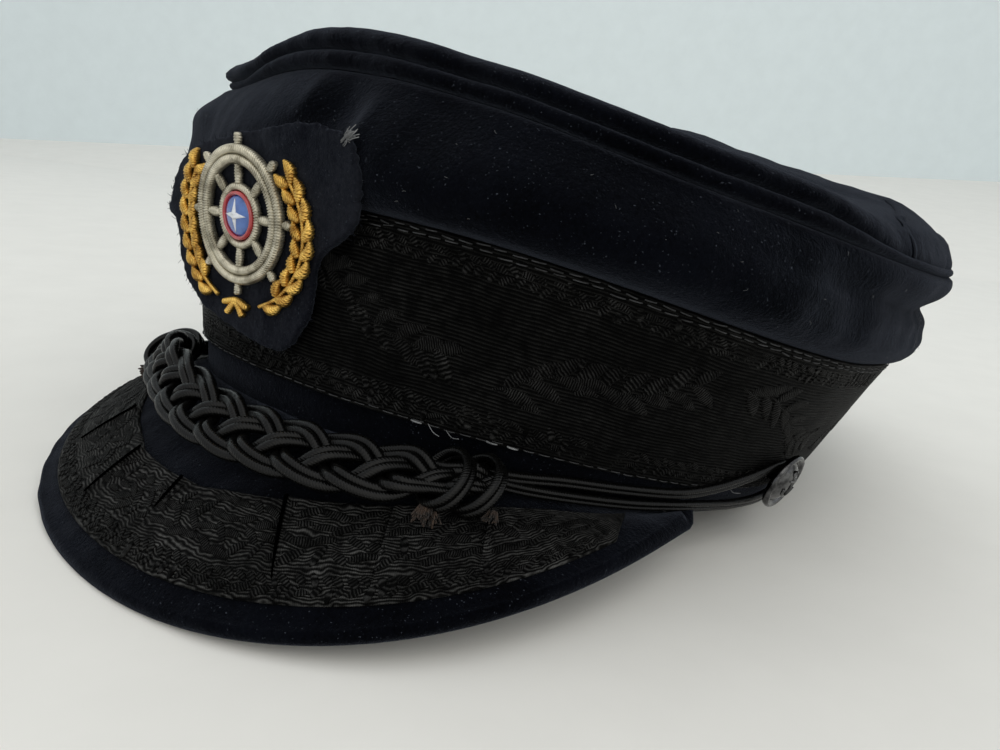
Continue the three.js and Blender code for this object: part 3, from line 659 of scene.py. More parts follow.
# %% Crown side
SIDE_COLUMNS, SIDE_ROWS, LINING_ROWS = 720, 40, 12
TUCKED_FOOT, OVER_SEAM, SEAM_RISES = [-0.9, 0.0, 0.15], [-1.3, -2.2, -2.7, -2.9], [0.35, 0.3, 0.0, 0.0]
side_angles = np.linspace(0, 360, SIDE_COLUMNS, endpoint=False)
climb, descent = np.linspace(0, 1, SIDE_ROWS) ** 0.9, np.linspace(0.93, 0.02, LINING_ROWS)
share = np.concatenate([climb, [1.0, 1.0, 1.0, 0.97], descent, [0.0]])
proud = np.concatenate([TUCKED_FOOT, np.zeros(SIDE_ROWS - 4), [-0.4], OVER_SEAM,
                        np.full(LINING_ROWS, -CLOTH_THICK), [-1.9]])
rise = np.concatenate([np.zeros(SIDE_ROWS), SEAM_RISES, np.zeros(LINING_ROWS + 1)])
rings = side_place(side_angles[:, None], share[None], proud[None])
rings[..., 2] += rise
further = side_place(side_angles[:, None], share[None], 1.0)
outward = unit(further - side_place(side_angles[:, None], share[None]))
soft = np.sin(np.pi * np.clip(share, 0, 1)) ** 0.5
lumps = 0.55 * ripples(rings, 30, 21) + 0.20 * ripples(rings, 9, 22)
rings += outward * (lumps * soft)[..., None]
crown_side = Cutting()
crown_side.skin(rings, side_angles.tolist() + [360.0], np.append(share, 0)[None] * 30, True)
crown_side.piece("crown_side_panel", wool, "wool", "crown_side")

# %% [markdown]
# ## The seam round the top
# Where side and top meet, a narrow corded piping lies in the seam, and above it the top panel is rolled over
# thicker. Two grooves part them. Behind the wearer's left ear the upper groove closes, because the slumped
# top puffs straight up from the piping. The piping is a real cord and not a ridge of the panel, because
# the shadow in the two grooves is what makes a seam look sewn.

# %% Seam piping
def seam_place(angle, out, up):
    """A point near the seam: mm out from it and its height as a share of the ridge."""
    height, seam_out, bulge, ridge = np.moveaxis(crown_row(angle), -1, 0)
    reach = SIDE_FOOT * np.sin(wall_lean(angle)) + seam_out
    for at, spread, share, extent, depth in FOLDS:
        off = (angle - at + 180) % 360 - 180
        reach = reach - depth * np.exp(-(off / spread) ** 2 - ((1 - share) / extent) ** 2)
    return oval(angle, reach + out, height + 0.3 + ridge * up)


def far_end(angle):
    """1 where the top turns away at the wearer's right, fading on both sides."""
    return ease(angle, 262, 290) * ease(-np.asarray(angle), -352, -326)


def back_end(angle):
    """1 where the puff turns away at the wearer's left."""
    return ease(angle, 78, 92) * ease(-np.asarray(angle), -150, -128)


PIPING_SIDES, PIPING_STEPS = 14, 900
FADE_IN, FADE_OUT = (68, 84), (-190, -160)
turn = np.linspace(0, 2 * np.pi, PIPING_SIDES, endpoint=False)
piping_angles = np.linspace(0, 360, PIPING_STEPS, endpoint=False)
thin = ease(piping_angles, *FADE_IN) * ease(-piping_angles, *FADE_OUT)
sunk = -1.2 - 0.6 * thin - 1.9 * far_end(piping_angles) + 0.3 * back_end(piping_angles)
thick, half_high, level = 2.4 - 0.9 * thin, 0.215 - 0.10 * thin, 0.235 - 0.11 * thin
rings = seam_place(piping_angles[:, None], sunk[:, None] + thick[:, None] * np.cos(turn),
                   level[:, None] + half_high[:, None] * np.sin(turn))
middle = seam_place(piping_angles, sunk, level)[:, None]
swell = 1 + 0.022 * ripples(rings, 9, 31) + 0.015 * ripples(rings, 2.2, 32)
rings = middle + (rings - middle) * swell[..., None]
piping = Cutting()
piping.skin(rings, piping_angles.tolist() + [360.0], np.zeros((1, PIPING_SIDES + 1)), True)
piping.piece("crown_seam_piping", wool, "wool", "crown_welt")

# %% [markdown]
# ## The crown's top
# The top panel dishes a little, because no head holds it up, and a soft puff rises at the back left. A
# subdivided disc pushed about by hand would do for the dish, but its edge has to follow the seam exactly. So
# each point of the top is found from the seam: how far along the way from the middle to the seam it is, and
# then how much it sags or puffs there. The two ends of the puff and the far side are lifted a little.

# %% Form of the crown's top
SAG = 6.0
INSIDE_OUT, INSIDE_UP = -6.3, 0.97
PUFF_RIGHT, PUFF_BACK, PUFF_RISE, PUFF_HALF_WIDTH, PUFF_HALF_LENGTH, PUFF_EDGE = 10, 25, 15, 100, 44, 20
FAR_LIFT, BACK_LIFT, FAR_FOOT, FAR_LEAN = 2.6, 2.1, 0.7, -2.6
inside_edge = seam_place(np.linspace(0, 360, 60, endpoint=False), INSIDE_OUT, INSIDE_UP)
TOP_MIDDLE = inside_edge.mean(0)


def top_place(angle, share):
    """A point on the top panel: share 0 in the middle, 1 at the inside of the rolled edge."""
    edge = seam_place(angle, INSIDE_OUT, INSIDE_UP)
    place = TOP_MIDDLE + (edge - TOP_MIDDLE) * share[..., None]
    x, y = place[..., 0], place[..., 1]
    puff = np.exp(-((x - PUFF_RIGHT) / PUFF_HALF_WIDTH) ** 2 - ((y - PUFF_BACK) / PUFF_HALF_LENGTH) ** 2)
    steep = PUFF_EDGE + 14 * ease(angle, 70, 90) * ease(-np.asarray(angle), -165, -140) - 12 * back_end(angle)
    rise = PUFF_RISE * puff * (1 - share ** steep)
    rise = rise + BACK_LIFT * back_end(angle) * share ** steep + FAR_LIFT * far_end(angle) * share ** 8
    level = TOP_MIDDLE[2] + (edge[..., 2] - TOP_MIDDLE[2]) * share ** 2
    place[..., 2] = level - SAG * (1 - share ** 2) + rise
    return place


print("middle of the top", np.round(top_place(np.array(0.0), np.array(0.0)), 1))

# %% [markdown]
# ### The rolled edge and the top panel
# The panel is one closed skin: over the top from the middle out, round the rolled edge, into the groove and
# back below. The edge has two forms, given as places off the seam from the groove upwards: a full roll, and
# the flatter way up into the puff. Angle by angle one fades into the other, which no single profile swept
# round the seam could do.

# %% Crown top
ROLL = ((-2.9, 0.44), (-1.0, 0.47), (0.2, 0.54), (0.75, 0.63), (0.75, 0.74), (0.1, 0.85), (-1.2, 0.95),
        (-2.8, 1.01), (-4.6, 1.02))
PUFF_ROLL = ((-2.4, 0.10), (-1.6, 0.14), (-1.3, 0.22), (-1.3, 0.32), (-1.6, 0.44), (-2.3, 0.60), (-3.3, 0.76),
             (-4.6, 0.87), (-5.7, 0.94))
TOP_COLUMNS, TOP_THICK, ROLL_LIMIT = 480, 1.8, -6.1
top_angles = np.linspace(0, 360, TOP_COLUMNS, endpoint=False)
fade = (ease(top_angles, *FADE_IN) * ease(-top_angles, *FADE_OUT))[:, None]
inner_share = np.concatenate([[0.01], np.linspace(0.06, 0.84, 18), [0.88, 0.91, 0.94, 0.965, 0.985, 1.0]])
roll = np.array(ROLL)[::-1]
straight = np.array(PUFF_ROLL)[::-1]
roll_out = roll[None, :, 0] * (1 - fade) + straight[None, :, 0] * fade
roll_up = roll[None, :, 1] * (1 - fade) + straight[None, :, 1] * fade
spread = np.broadcast_to(inner_share, (TOP_COLUMNS, len(inner_share)))
over = top_place(top_angles[:, None], spread)
far, back = far_end(top_angles)[:, None], back_end(top_angles)[:, None]
leaning = FAR_FOOT * ease(-roll_up, -0.56, -0.44) + FAR_LEAN * ease(roll_up, 0.54, 0.95)
edge = seam_place(top_angles[:, None], np.maximum(roll_out + leaning * far, ROLL_LIMIT), roll_up)
edge[..., 2] += (FAR_LIFT * far + BACK_LIFT * back) * ease(roll_up, 0.42, 1.0)
under = top_place(top_angles[:, None], spread[:, ::-1]) - [0, 0, TOP_THICK]
sheet = np.concatenate([over, edge, under], 1)
full = sheet.shape[1]
shares = np.concatenate([inner_share, np.full(len(roll), 1.0), inner_share[::-1]])
waviness = 0.9 * ripples(sheet, 45, 41) + 0.35 * ripples(sheet, 16, 42) + 0.15 * ripples(sheet, 7, 43)
sheet[..., 2] += waviness * ease(-shares, -1.0, -0.85) * ease(shares, 0.0, 0.1)
outward = unit(seam_place(top_angles, 1.0, 0.7) - seam_place(top_angles, 0.0, 0.7))[:, None]
on_roll = np.zeros(full)
on_roll[len(inner_share):len(inner_share) + len(roll)] = 1
rough = 0.28 * ripples(sheet, 14, 44) + 0.16 * ripples(sheet, 4.5, 45)
sheet += outward * (rough * on_roll)[..., None]
crown_top = Cutting()
crown_top.skin(sheet.transpose(1, 0, 2), np.zeros(full), np.zeros((1, TOP_COLUMNS + 1)))
crown_top.piece("crown_top_panel", wool, "wool", "crown_top")

# %% [markdown]
# The top is sewn from two halves. Their seam comes down the puff at the wearer's left as a flat strip, two
# and a half millimetres wide, that stands a little proud. It is a flat cord laid on the top, because a crease
# in the panel itself would need a far finer mesh all over.

# %% Seam on the puff
SEAM_FROM, SEAM_TO, SEAM_TOP, SEAM_HALF_WIDTH, SEAM_RISE = 84.0, 97.0, 0.88, 1.3, 0.34


def seam_point(step, proud=0.0):
    """A point on the strip: step 0 to 1 goes up the roll, 1 to 2 over the top panel."""
    outs, ups = np.array(PUFF_ROLL).T
    climb = np.linspace(0, 1, len(outs))
    on_roll = seam_place(SEAM_FROM, np.interp(step, climb, outs) + proud, np.interp(step, climb, ups))
    past = np.maximum(step - 1, 0)
    over = top_place(SEAM_FROM + (SEAM_TO - SEAM_FROM) * past, 1 - (1 - SEAM_TOP) * past)
    over[..., 2] += proud
    return np.where((step > 1)[..., None], over, on_roll)


steps = np.concatenate([np.linspace(0.1, 0.95, 9), np.linspace(1.15, 2, 12)])
seam_line = smooth_path(seam_point(steps, 0.15), 60)
seam_out = smooth_path(seam_point(steps, 1.0), 60) - seam_line
puff_seam = Cutting()
lay_cord(puff_seam, seam_line, seam_out, SEAM_HALF_WIDTH, SEAM_RISE, 10)
puff_seam.piece("crown_top_seam", wool, "wool")

# %% [markdown]
# ## The peak
# The peak is card covered in the same wool. Seen from above it is a broad half moon, and seen from the side
# it drops forward and its middle is arched. It could be bent from a flat half moon, as the real one is, but
# then its rim would land where it likes. Here the rim is given first, and each section runs from the band to
# the rim, a little arched. A share of -1 is the wearer's right corner and 1 the left one.

# %% Form of the peak
PEAK_HALF_WIDTH, PEAK_WIDTH_POWER, PEAK_LENGTH_POWER = 87.9, 2.09, 2.6
PEAK_REACH, PEAK_DROP, PEAK_DROP_POWER = 40.4, 26.7, 1.07
SHOULDER_ANGLE, SHOULDER_SHARE, CORNER_ANGLE, CORNER_END = 63.4, 0.9, 80, 71.8
PEAK_HALF_THICK, PEAK_DOME = 1.75, 1.6


def rim_place(share):
    """The rim of the peak: share -1 at the wearer's right corner, 0 in front, 1 at the left corner."""
    turn = np.clip(share / SHOULDER_SHARE, -1, 1) * np.pi / 2
    across, along = np.sin(turn), abs(np.cos(turn))
    x = PEAK_HALF_WIDTH * np.sign(across) * abs(across) ** (2 / PEAK_WIDTH_POWER)
    shoulder = -HEAD_HALF_LENGTH * math.cos(math.radians(SHOULDER_ANGLE))
    y = shoulder - (HEAD_HALF_LENGTH + PEAK_REACH + shoulder) * along ** (2 / PEAK_LENGTH_POWER)
    shoulder_height = hem_height(SHOULDER_ANGLE)
    z = shoulder_height - (PEAK_DROP + shoulder_height) * along ** PEAK_DROP_POWER
    corner = on_wall(CORNER_END * np.sign(share), 5.8, 1.7)
    blend = np.clip((abs(share) - SHOULDER_SHARE) / (1 - SHOULDER_SHARE), 0, 1)[..., None]
    return np.stack([x, y, z], -1) * (1 - blend) + corner * blend


def peak_section(share):
    past = np.maximum(abs(share) - SHOULDER_SHARE, 0) / (1 - SHOULDER_SHARE)
    steady = np.minimum(abs(share), SHOULDER_SHARE) * CORNER_ANGLE
    angle = np.sign(share) * (steady + (CORNER_END - SHOULDER_SHARE * CORNER_ANGLE) * past)
    foot = on_wall(angle, -0.5 - 0.9 * share ** 2 + 4.4 * past, 0.3 + 1.3 * share ** 2)
    run = rim_place(share) - foot
    length = np.linalg.norm(run, axis=-1)
    slope = run / length[..., None]
    up = unit(np.cross(rim_place(share + 0.001) - rim_place(share - 0.001), slope))
    return foot, slope, up * np.sign(up[..., 2:]), length


def on_peak(share, from_band, height):
    foot, slope, up, length = peak_section(np.asarray(share, float))
    arch = PEAK_DOME * np.sin(np.pi * np.clip(from_band / length, 0, 1)) + height
    return foot + slope * np.asarray(from_band)[..., None] + up * arch[..., None]


def even_shares(start, end, count):
    """Shares whose places on the rim are evenly far apart."""
    fine = np.linspace(start, end, 2000)
    length = lengths_along(rim_place(fine))
    return np.interp(np.linspace(0, length[-1], count), length, fine), length[-1]


print("middle of the rim", np.round(rim_place(np.array(0.0)), 1))

# %% [markdown]
# ### The peak's cover
# The wool is pulled round the card, so the rim is a round nose and not a sharp edge. The cover is drawn
# section by section from right to left: out along the underside, round the nose, and back in along the top.
# The steps are even along the rim, because even angles would stretch the corners.

# %% Peak
PEAK_COLUMNS, NOSE_ROWS, PEAK_ROWS, FOOT_IN = 240, 11, 22, -1.2
peak_shares, rim_length = even_shares(-0.999, 0.999, PEAK_COLUMNS)
nose = np.maximum(peak_section(peak_shares)[3] - PEAK_HALF_THICK, 0.3)[:, None]
turn = np.radians(np.linspace(-90, 90, NOSE_ROWS))[None]
inward = np.linspace(0, 1, PEAK_ROWS)[None]
way_out, way_in = FOOT_IN + (nose - FOOT_IN) * inward, nose + (FOOT_IN - nose) * inward
places = np.hstack([way_out, nose + PEAK_HALF_THICK * np.cos(turn), way_in])
face = np.full((1, PEAK_ROWS), PEAK_HALF_THICK)
heights = np.hstack([-face, PEAK_HALF_THICK * np.sin(turn), face])
rings = on_peak(peak_shares[:, None], places, heights)
up = peak_section(peak_shares)[2][:, None]
rings += up * (0.16 * ripples(rings, 11, 51) * (heights > 0))[..., None]
peak_cover = Cutting()
peak_cover.skin(rings, peak_shares, np.zeros((1, places.shape[1] + 1)))
peak_cover.piece("peak_cover", wool, "wool", "peak")
print("rim length", round(rim_length), "mm")

# %% [markdown]
# ## The ribbon on the peak
# A straight ribbon can't go round the curve of a peak, so the maker laid it in pleats along its inner edge.
# Each pleat is a step where one part lies over the next, and it fades out towards the rim. Folding a flat
# sheet would give the same steps in a less certain place, so each pleat is given: where its line starts at
# the inner edge, where it ends at the outer one, and how high it is. The rows of the mesh are drawn through
# the pleat lines, so a step stays crisp.

# %% Pleats of the peak ribbon
RIM_LEFT_BARE = 6.5
RIBBON_END = 0.7778
INNER_EDGE = ((0, 24.4), (0.08, 24.0), (0.12, 22.2), (0.224, 19.0),
              (0.35, 14.5), (0.5, 9.4), (0.62, 6.6), (1, 6.4))
PLEATS = ((-0.52, -0.57, 0.6), (-0.36, -0.405, 0.8), (-0.230, -0.285, 1.25), (-0.075, -0.098, 1.5),
          (0.043, 0.061, 1.0), (0.227, 0.314, 1.25), (0.385, 0.44, 0.5), (0.53, 0.575, 0.4))
inner_lines = np.array([-RIBBON_END] + [pleat[0] for pleat in PLEATS] + [RIBBON_END])
outer_lines = np.array([-RIBBON_END] + [pleat[1] for pleat in PLEATS] + [RIBBON_END])


def peak_ribbon_edges(share):
    inner = np.interp(abs(share), *np.array(INNER_EDGE).T)
    outer = np.maximum(peak_section(share)[3] - RIM_LEFT_BARE, inner + 1)
    return inner, outer


def pleat_shares(step):
    """Shares at the inner and the outer edge, rows close together at each pleat."""
    near = np.linspace(0, 1, step)
    near = near - 0.14 * np.sin(2 * np.pi * near)
    knots = np.concatenate([k + near[:-1] for k in range(len(inner_lines) - 1)] + [[len(inner_lines) - 1]])
    order = np.arange(len(inner_lines))
    return knots, np.interp(knots, order, inner_lines), np.interp(knots, order, outer_lines)


def pleat_rise(knots, depth):
    """Height of the folds: high just after a pleat line, falling slowly; depth 0 at the inner edge."""
    since = knots - np.floor(knots + 1e-9)
    which = np.clip(np.floor(knots + 1e-9).astype(int), 0, len(PLEATS))
    strength = np.array([0.0] + [pleat[2] for pleat in PLEATS])[which]
    before = np.array([pleat[2] for pleat in PLEATS] + [0.0])[which]
    climb = 1.15 * strength[:, None] * np.exp(-since[:, None] / 0.28)
    dip = 0.30 * before[:, None] * np.exp(-(1 - since[:, None]) / 0.05)
    slit = 1.05 * np.exp(-((1 - since[:, None]) / 0.050) ** 2) * (before[:, None] > 0)
    return (climb - dip - slit) * np.clip(1 - depth[None] / 0.80, 0, 1) ** 0.4


print("pleats", len(PLEATS))

# %% [markdown]
# ### The ribbon on the peak, laid down
# The ribbon's upper side has its ribs, its pleats and a small drop at both edges. Its underside is plain,
# with one column for each twenty-two above, because only the edges of it are ever seen.

# %% Peak ribbon
PLEAT_STEPS, LOW_COLUMNS, COLUMN_STEP = 42, 4, 22
PEAK_TOP, PEAK_BACK, PEAK_CREST, EDGE_DROP = 2.60, 1.95, 0.06, 0.35
knots, at_inner, at_outer = pleat_shares(PLEAT_STEPS)
widths = np.linspace(0, 1, COLUMN_STEP * LOW_COLUMNS + 1)
share_grid = at_inner[:, None] * (1 - widths) + at_outer[:, None] * widths
inner, outer = peak_ribbon_edges(share_grid)
from_band = inner + (outer - inner) * widths
from_rim = outer - from_band
ribs = ribbon_relief(from_rim, 60, PEAK_CREST)
fold = pleat_rise(knots, widths)
edge_drop = EDGE_DROP * (ease(widths, 0.03, 0) + ease(widths, 0.985, 1.0))
top_side = on_peak(share_grid, from_band, PEAK_TOP + ribs + fold - edge_drop)
low_side = on_peak(share_grid[:, ::COLUMN_STEP], from_band[:, ::COLUMN_STEP], PEAK_BACK)
rings = np.concatenate([low_side, top_side[:, ::-1]], 1)
along = lengths_along(on_peak(at_outer, outer[:, -1], 2.5))
marks = np.concatenate([from_rim[:, ::COLUMN_STEP], from_rim[:, ::-1], from_rim[:, :1]], 1)
peak_ribbon = Cutting()
peak_ribbon.skin(rings, along, marks)
ribbon_on_peak = peak_ribbon.piece("peak_ribbon_ground", peak_ground, "ribbon", "peak_ribbon")


# %% [markdown]
# Where a pleat is deep its mouth stands open, and the shade deep in it shows as a dark line. A real hollow
# that narrow would need a very fine mesh, so the shade is painted: a separate narrow near-black strip lies
# along the mouth, and gets thinner towards the rim. Each entry names a pleat and how far out its mouth
# reaches.

# %% Painted shadow in the mouths of the pleats
TUCKS = ((3, 0.70), (4, 0.76), (5, 0.42), (6, 0.80))
TUCK_HALF_WIDTH, TUCK_HALF_HIGH, TUCK_LEVEL, TUCK_ASIDE, JUST_PAST = 0.46, 0.22, 2.86, -0.16, 0.004
# Painted shadow: a near-black matt finish for the strips that stand for the shade in the pleats' mouths.
pleat_shadow = Recipe("pleat_shadow", (0.00015, 0.00015, 0.00015), 1.0)
pleat_shadow.set("Specular IOR Level", 0.0)
pleat_shadows = Cutting()
for number, reach in TUCKS:
    run = np.linspace(0.0, reach, 26)
    line = PLEATS[number - 1][0] * (1 - run) + PLEATS[number - 1][1] * run
    inner, outer = peak_ribbon_edges(line)
    level = TUCK_LEVEL + pleat_rise(np.array([number + JUST_PAST]), run)[0]
    from_band = inner + (outer - inner) * run
    path = on_peak(line, from_band, level)
    aside = unit(on_peak(line - 0.002, from_band, level) - path)
    wide = TUCK_HALF_WIDTH * (1 - (run / reach) ** 3 * 0.75)
    lay_cord(pleat_shadows, path + aside * TUCK_ASIDE, peak_section(line)[2], wide, TUCK_HALF_HIGH, 8)
pleat_shadows.piece("peak_ribbon_pleat_shadows", pleat_shadow.material, "ribbon")

# %% [markdown]
# The same leaves are woven here, much closer together: a border along the rim side, two plain ribs, and then
# a thicket of small leaves that the pleats cut into. The leaf tool of the band serves again. It only needs
# to know where a place on this ribbon is, so a second helper gives it that.

# %% Leaves on the peak ribbon
LEAF_LEVEL, ROW_PITCH, LEAF_PITCH = 2.74, 3.1, 4.3


def peak_place(along_rim, inwards, out):
    """A point on the peak's ribbon: mm along its outer edge, mm in from that edge, mm off it."""
    share = np.interp(along_rim, along, at_outer)
    inner, outer = peak_ribbon_edges(share)
    from_rim = np.minimum(inwards, outer - inner - 0.3)
    inwards_share = from_rim / (outer - inner)
    knot = np.interp(share, outer_lines, np.arange(len(outer_lines)))
    rise = pleat_rise(knot.ravel(), np.array([0.0])).reshape(share.shape)
    fading = np.clip(1 - (1 - inwards_share) / 0.88, 0, 1) ** 0.6
    inner_share = np.interp(knot, np.arange(len(inner_lines)), inner_lines)
    placed = share * (1 - inwards_share) + inner_share * inwards_share
    return on_peak(placed, outer - from_rim, LEAF_LEVEL + rise * fading + out)


draw = np.random.default_rng(12)
peak_length = along[-1]
leaves = border(4, peak_length - 4, 0.9, 5.3, 2.4, 3.3, 1.5, 0.12, draw)
for row, inwards in enumerate(np.arange(9.2, 24, ROW_PITCH)):
    for place in np.arange(5 + 1.7 * (row % 2), peak_length - 5, LEAF_PITCH):
        share_here = float(np.interp(place, along, at_outer))
        room = np.subtract(*peak_ribbon_edges(np.array(share_here))[::-1])
        if inwards < room - 3.6:
            lean = 0.45 * (-1) ** row + draw.normal(0, 0.4)
            size = draw.uniform(3.8, 7.0)
            at = (place + draw.normal(0, 0.7), inwards + draw.normal(0, 0.5))
            leaves.append((*at, size, draw.uniform(1.4, 2.4), lean, draw.uniform(0.05, 0.13)))
peak_leaves = Cutting()
lay_leaves(peak_leaves, peak_place, leaves)
peak_leaves.piece("peak_ribbon_leaves", ribbon_satin, "ribbon")
print(len(leaves), "leaves on the peak")

# %% [markdown]
# ## The cord's finish
# The cord is covered in fine twisted silk, black and a little glossy. Its twist is too fine to be worth a
# mesh, so it is a helix of stripes in the finish, taken from the places along and round the cord: a painted
# highlight in the base colour on each strand, dark between them, which also drives a fine bump. A fine noise
# breaks the gloss as handling does.

# %% Cord finish
def cord_finish(name, colour, light, roughness):
    """Fine strands that wind round a cord, glossy and a little fluffed, with a painted highlight on each
    strand.
    """
    cord = Recipe(name, colour, roughness)
    cord.set("Specular IOR Level", 0.19)
    along, girth = cord.cloth()
    helix = cord.maths("ADD", along, cord.maths("MULTIPLY", girth, 0.55))
    strands = cord.stripes(helix, 0.62)
    fibre = cord.noise(2200, 2.0, 0.6)
    # Painted highlight: the strands' stripes, with some fibre noise, lighten the base colour and also make
    # the bump.
    strand_relief_and_highlight = cord.maths("MULTIPLY_ADD", strands, 0.6, cord.maths("MULTIPLY", fibre, 0.4))
    cord.set("Base Color", cord.blend(cord.spread(strand_relief_and_highlight, 0.2, 0.9, 0.0, 1.0), colour, light))
    cord.set("Roughness", cord.spread(fibre, 0.3, 0.7, roughness - 0.05, roughness + 0.12))
    cord.set("Normal", cord.bump(strand_relief_and_highlight, 0.00010, 0.55))
    return cord.material


# The second colour is the painted highlight on the strands.
satin_cord = cord_finish("black_satin_cord", (0.0004, 0.0004, 0.0004), (0.0024, 0.0023, 0.0021), 0.27)
print("finish", satin_cord.name)

# %% [markdown]
# ## How the plait lies
# The plait lies in the corner between band and peak. On the wearer's right it leans up on the band, and in
# front and on the left it lies flat on the peak. Each row says this for one share of the rim: how far the
# plait's middle is from the band, how many degrees it leans, and how high it lies. A moving average rounds
# the corners of this table, where a curve through the points could swing past them.

# %% Lie of the plait
PLAIT_END, SOFTEN = 0.53, 15
PLAIT_LIE = (
    (-0.53, 6.4, 6, 8.2), (-0.46, 6.9, 14, 8.6), (-0.40, 7.2, 24, 9.1), (-0.32, 7.3, 33, 9.5),
    (-0.20, 7.6, 32, 9.3), (-0.12, 8.4, 21, 8.7), (-0.05, 9.6, 8, 8.0), (0.0, 10.3, 2, 7.7),
    (0.1, 10.5, 0, 7.7), (0.2, 10.2, 0, 7.7), (0.3, 9.8, 0, 7.7), (0.4, 8.6, 0, 7.7), (0.53, 6.6, 0, 8.0),
)


def softened(column):
    """One column of the table along the whole plait, with its corners rounded."""
    at, values = np.array(PLAIT_LIE)[:, 0], np.array(PLAIT_LIE)[:, column]
    window = 2 * SOFTEN + 1
    return np.convolve(np.pad(np.interp(fine, at, values), SOFTEN, "edge"), np.ones(window) / window, "valid")


fine = np.linspace(-PLAIT_END, PLAIT_END, 400)
plait_middle, plait_lean, plait_height = [softened(column) for column in (1, 2, 3)]
plait_length = lengths_along(on_peak(fine, plait_middle, plait_height))
plait_length -= plait_length[-1] / 2


def on_plait(along_plait, aside, above):
    """A point in the plait: mm along it, mm aside from its middle and mm above it. It leans on the band."""
    share, middle, lean, height = (np.interp(along_plait, plait_length, row)
                                   for row in (fine, plait_middle, plait_lean, plait_height))
    cosine, sine = np.cos(np.radians(lean)), np.sin(np.radians(lean))
    return on_peak(share, middle + aside * cosine + above * sine, height - aside * sine + above * cosine)


print("plait", round(plait_length[-1] - plait_length[0]), "mm along its middle")

# %% [markdown]
# ## The plaited cord
# Eight smooth cords lie in four pairs, and the pairs are plaited flat. Real plaiting could be copied strand
# by strand, but its rule is simple. Each pair swings from side to side and meets three others on its way
# across: over, under, over on the way out, and under, over, under on the way back. Four pairs follow each
# other by a quarter of a swing, so one lobe shows every twelve millimetres. Towards both ends the wraps bind
# the pairs, which get thinner and closer there.

# %% Plait
PLAIT_PERIOD, SWING, CROSSING, PAIRS, PLAIT_STEPS = 48.0, 5.75, 1.30, 4, 300
CORD_RADIUS, CORD_APART, FLAT_TURN = 1.12, 1.01, 0.9
CROSSINGS = ((-45, 1), (0, -1), (45, 1), (135, -1), (180, 1), (225, -1), (315, 1))


def over_and_under(phase):
    """Height from -1 to 1: the way over or under at each crossing, with round steps between."""
    degrees = (np.degrees(phase) + 45) % 360 - 45
    at, level = np.array(CROSSINGS, float).T
    here = np.clip(np.searchsorted(at, degrees, "right") - 1, 0, len(at) - 2)
    return level[here] + (level[here + 1] - level[here]) * ease(degrees, at[here], at[here + 1])


plait = Cutting()
strand = np.linspace(plait_length[0], plait_length[-1], PLAIT_STEPS)
strand_share = np.interp(strand, plait_length, fine)
bound = ease(abs(strand_share), 0.37, 0.45)
for number in range(PAIRS):
    phase = 2 * np.pi * (strand / PLAIT_PERIOD + number / PAIRS)
    swing = SWING * (1 - 0.5 * bound)
    aside = swing * np.tanh(FLAT_TURN * np.sin(phase)) / math.tanh(FLAT_TURN)
    height = CROSSING * (1 - 0.25 * bound) * over_and_under(phase)
    slope = np.gradient(aside, strand)
    across_step = CORD_APART * (1 - 0.22 * bound) / np.sqrt(1 + slope ** 2)
    for side in (-1, 1):
        path = on_plait(strand - side * across_step * slope, aside + side * across_step, height)
        above = unit(on_plait(strand, aside, height + 1.0) - on_plait(strand, aside, height))
        lay_cord(plait, path, above, CORD_RADIUS * (1 - 0.12 * bound), CORD_RADIUS * (1 - 0.25 * bound), 12)
plait.piece("plaited_cords", satin_cord, "cord", "cord_plait")
print("each cord of the plait", round(lengths_along(path)[-1]), "mm")

# %% [markdown]
# ## Wraps
# Two turns of the cord close the plait at each end. On the real cap they are one cord wound on. Each turn is
# drawn as a closed oval of its own, slanted across the plait, because the crossing from one turn to the next
# is hidden below. Like the plait, each is a pair of cords side by side.

# %% Wraps
WRAP_SHARES, WRAP_LEAN, WRAP_BOW, WRAP_FROM_BAND = (0.4485, 0.4995), 0.021, 0.042, 7.9
WRAP_HALF_LENGTH, WRAP_HEIGHT, WRAP_HALF_THICK = 7.4, 7.6, 4.0
WRAP_RADIUS, WRAP_APART, WRAP_STEPS = 0.92, 0.90, 96
SIDES = ((1, "left"), (-1, "right"))
turn = np.linspace(0, 2 * np.pi, WRAP_STEPS, endpoint=False)
for side, name in SIDES:
    for number, share in enumerate(WRAP_SHARES, 1):
        bow = share + WRAP_LEAN * np.cos(turn) + WRAP_BOW * np.sin(turn)
        from_band = WRAP_FROM_BAND + WRAP_HALF_LENGTH * np.cos(turn)
        loop = on_peak(side * bow, from_band, WRAP_HEIGHT + WRAP_HALF_THICK * np.sin(turn))
        wrap = Cutting()
        run, away = np.roll(loop, -1, axis=0) - np.roll(loop, 1, axis=0), loop - loop.mean(0)
        across_wrap = unit(np.cross(unit(run), away))
        for which in (-1, 1):
            beside = loop + which * WRAP_APART * across_wrap
            lay_cord(wrap, beside, unit(away), WRAP_RADIUS, WRAP_RADIUS, 12, True)
        label = "wrap_%s_%d" % (name, number)
        wrap.piece(label, satin_cord, "cord", "cord_" + label)
print("each turn", round(lengths_along(np.vstack([loop, loop[:1]]))[-1]), "mm round")

# %% [markdown]
# ## Tails
# From the wraps a cord runs back along the band, round the shank of the side button, and returns below
# itself. It is a pair of fine cords laid side by side. Its way is given by a row of places on the wall:
# angle, up and out. A curve drawn over the finished meshes could cut through them, while these stay just off
# the wall. The two fine cords then lie beside that way, flat on the wool.

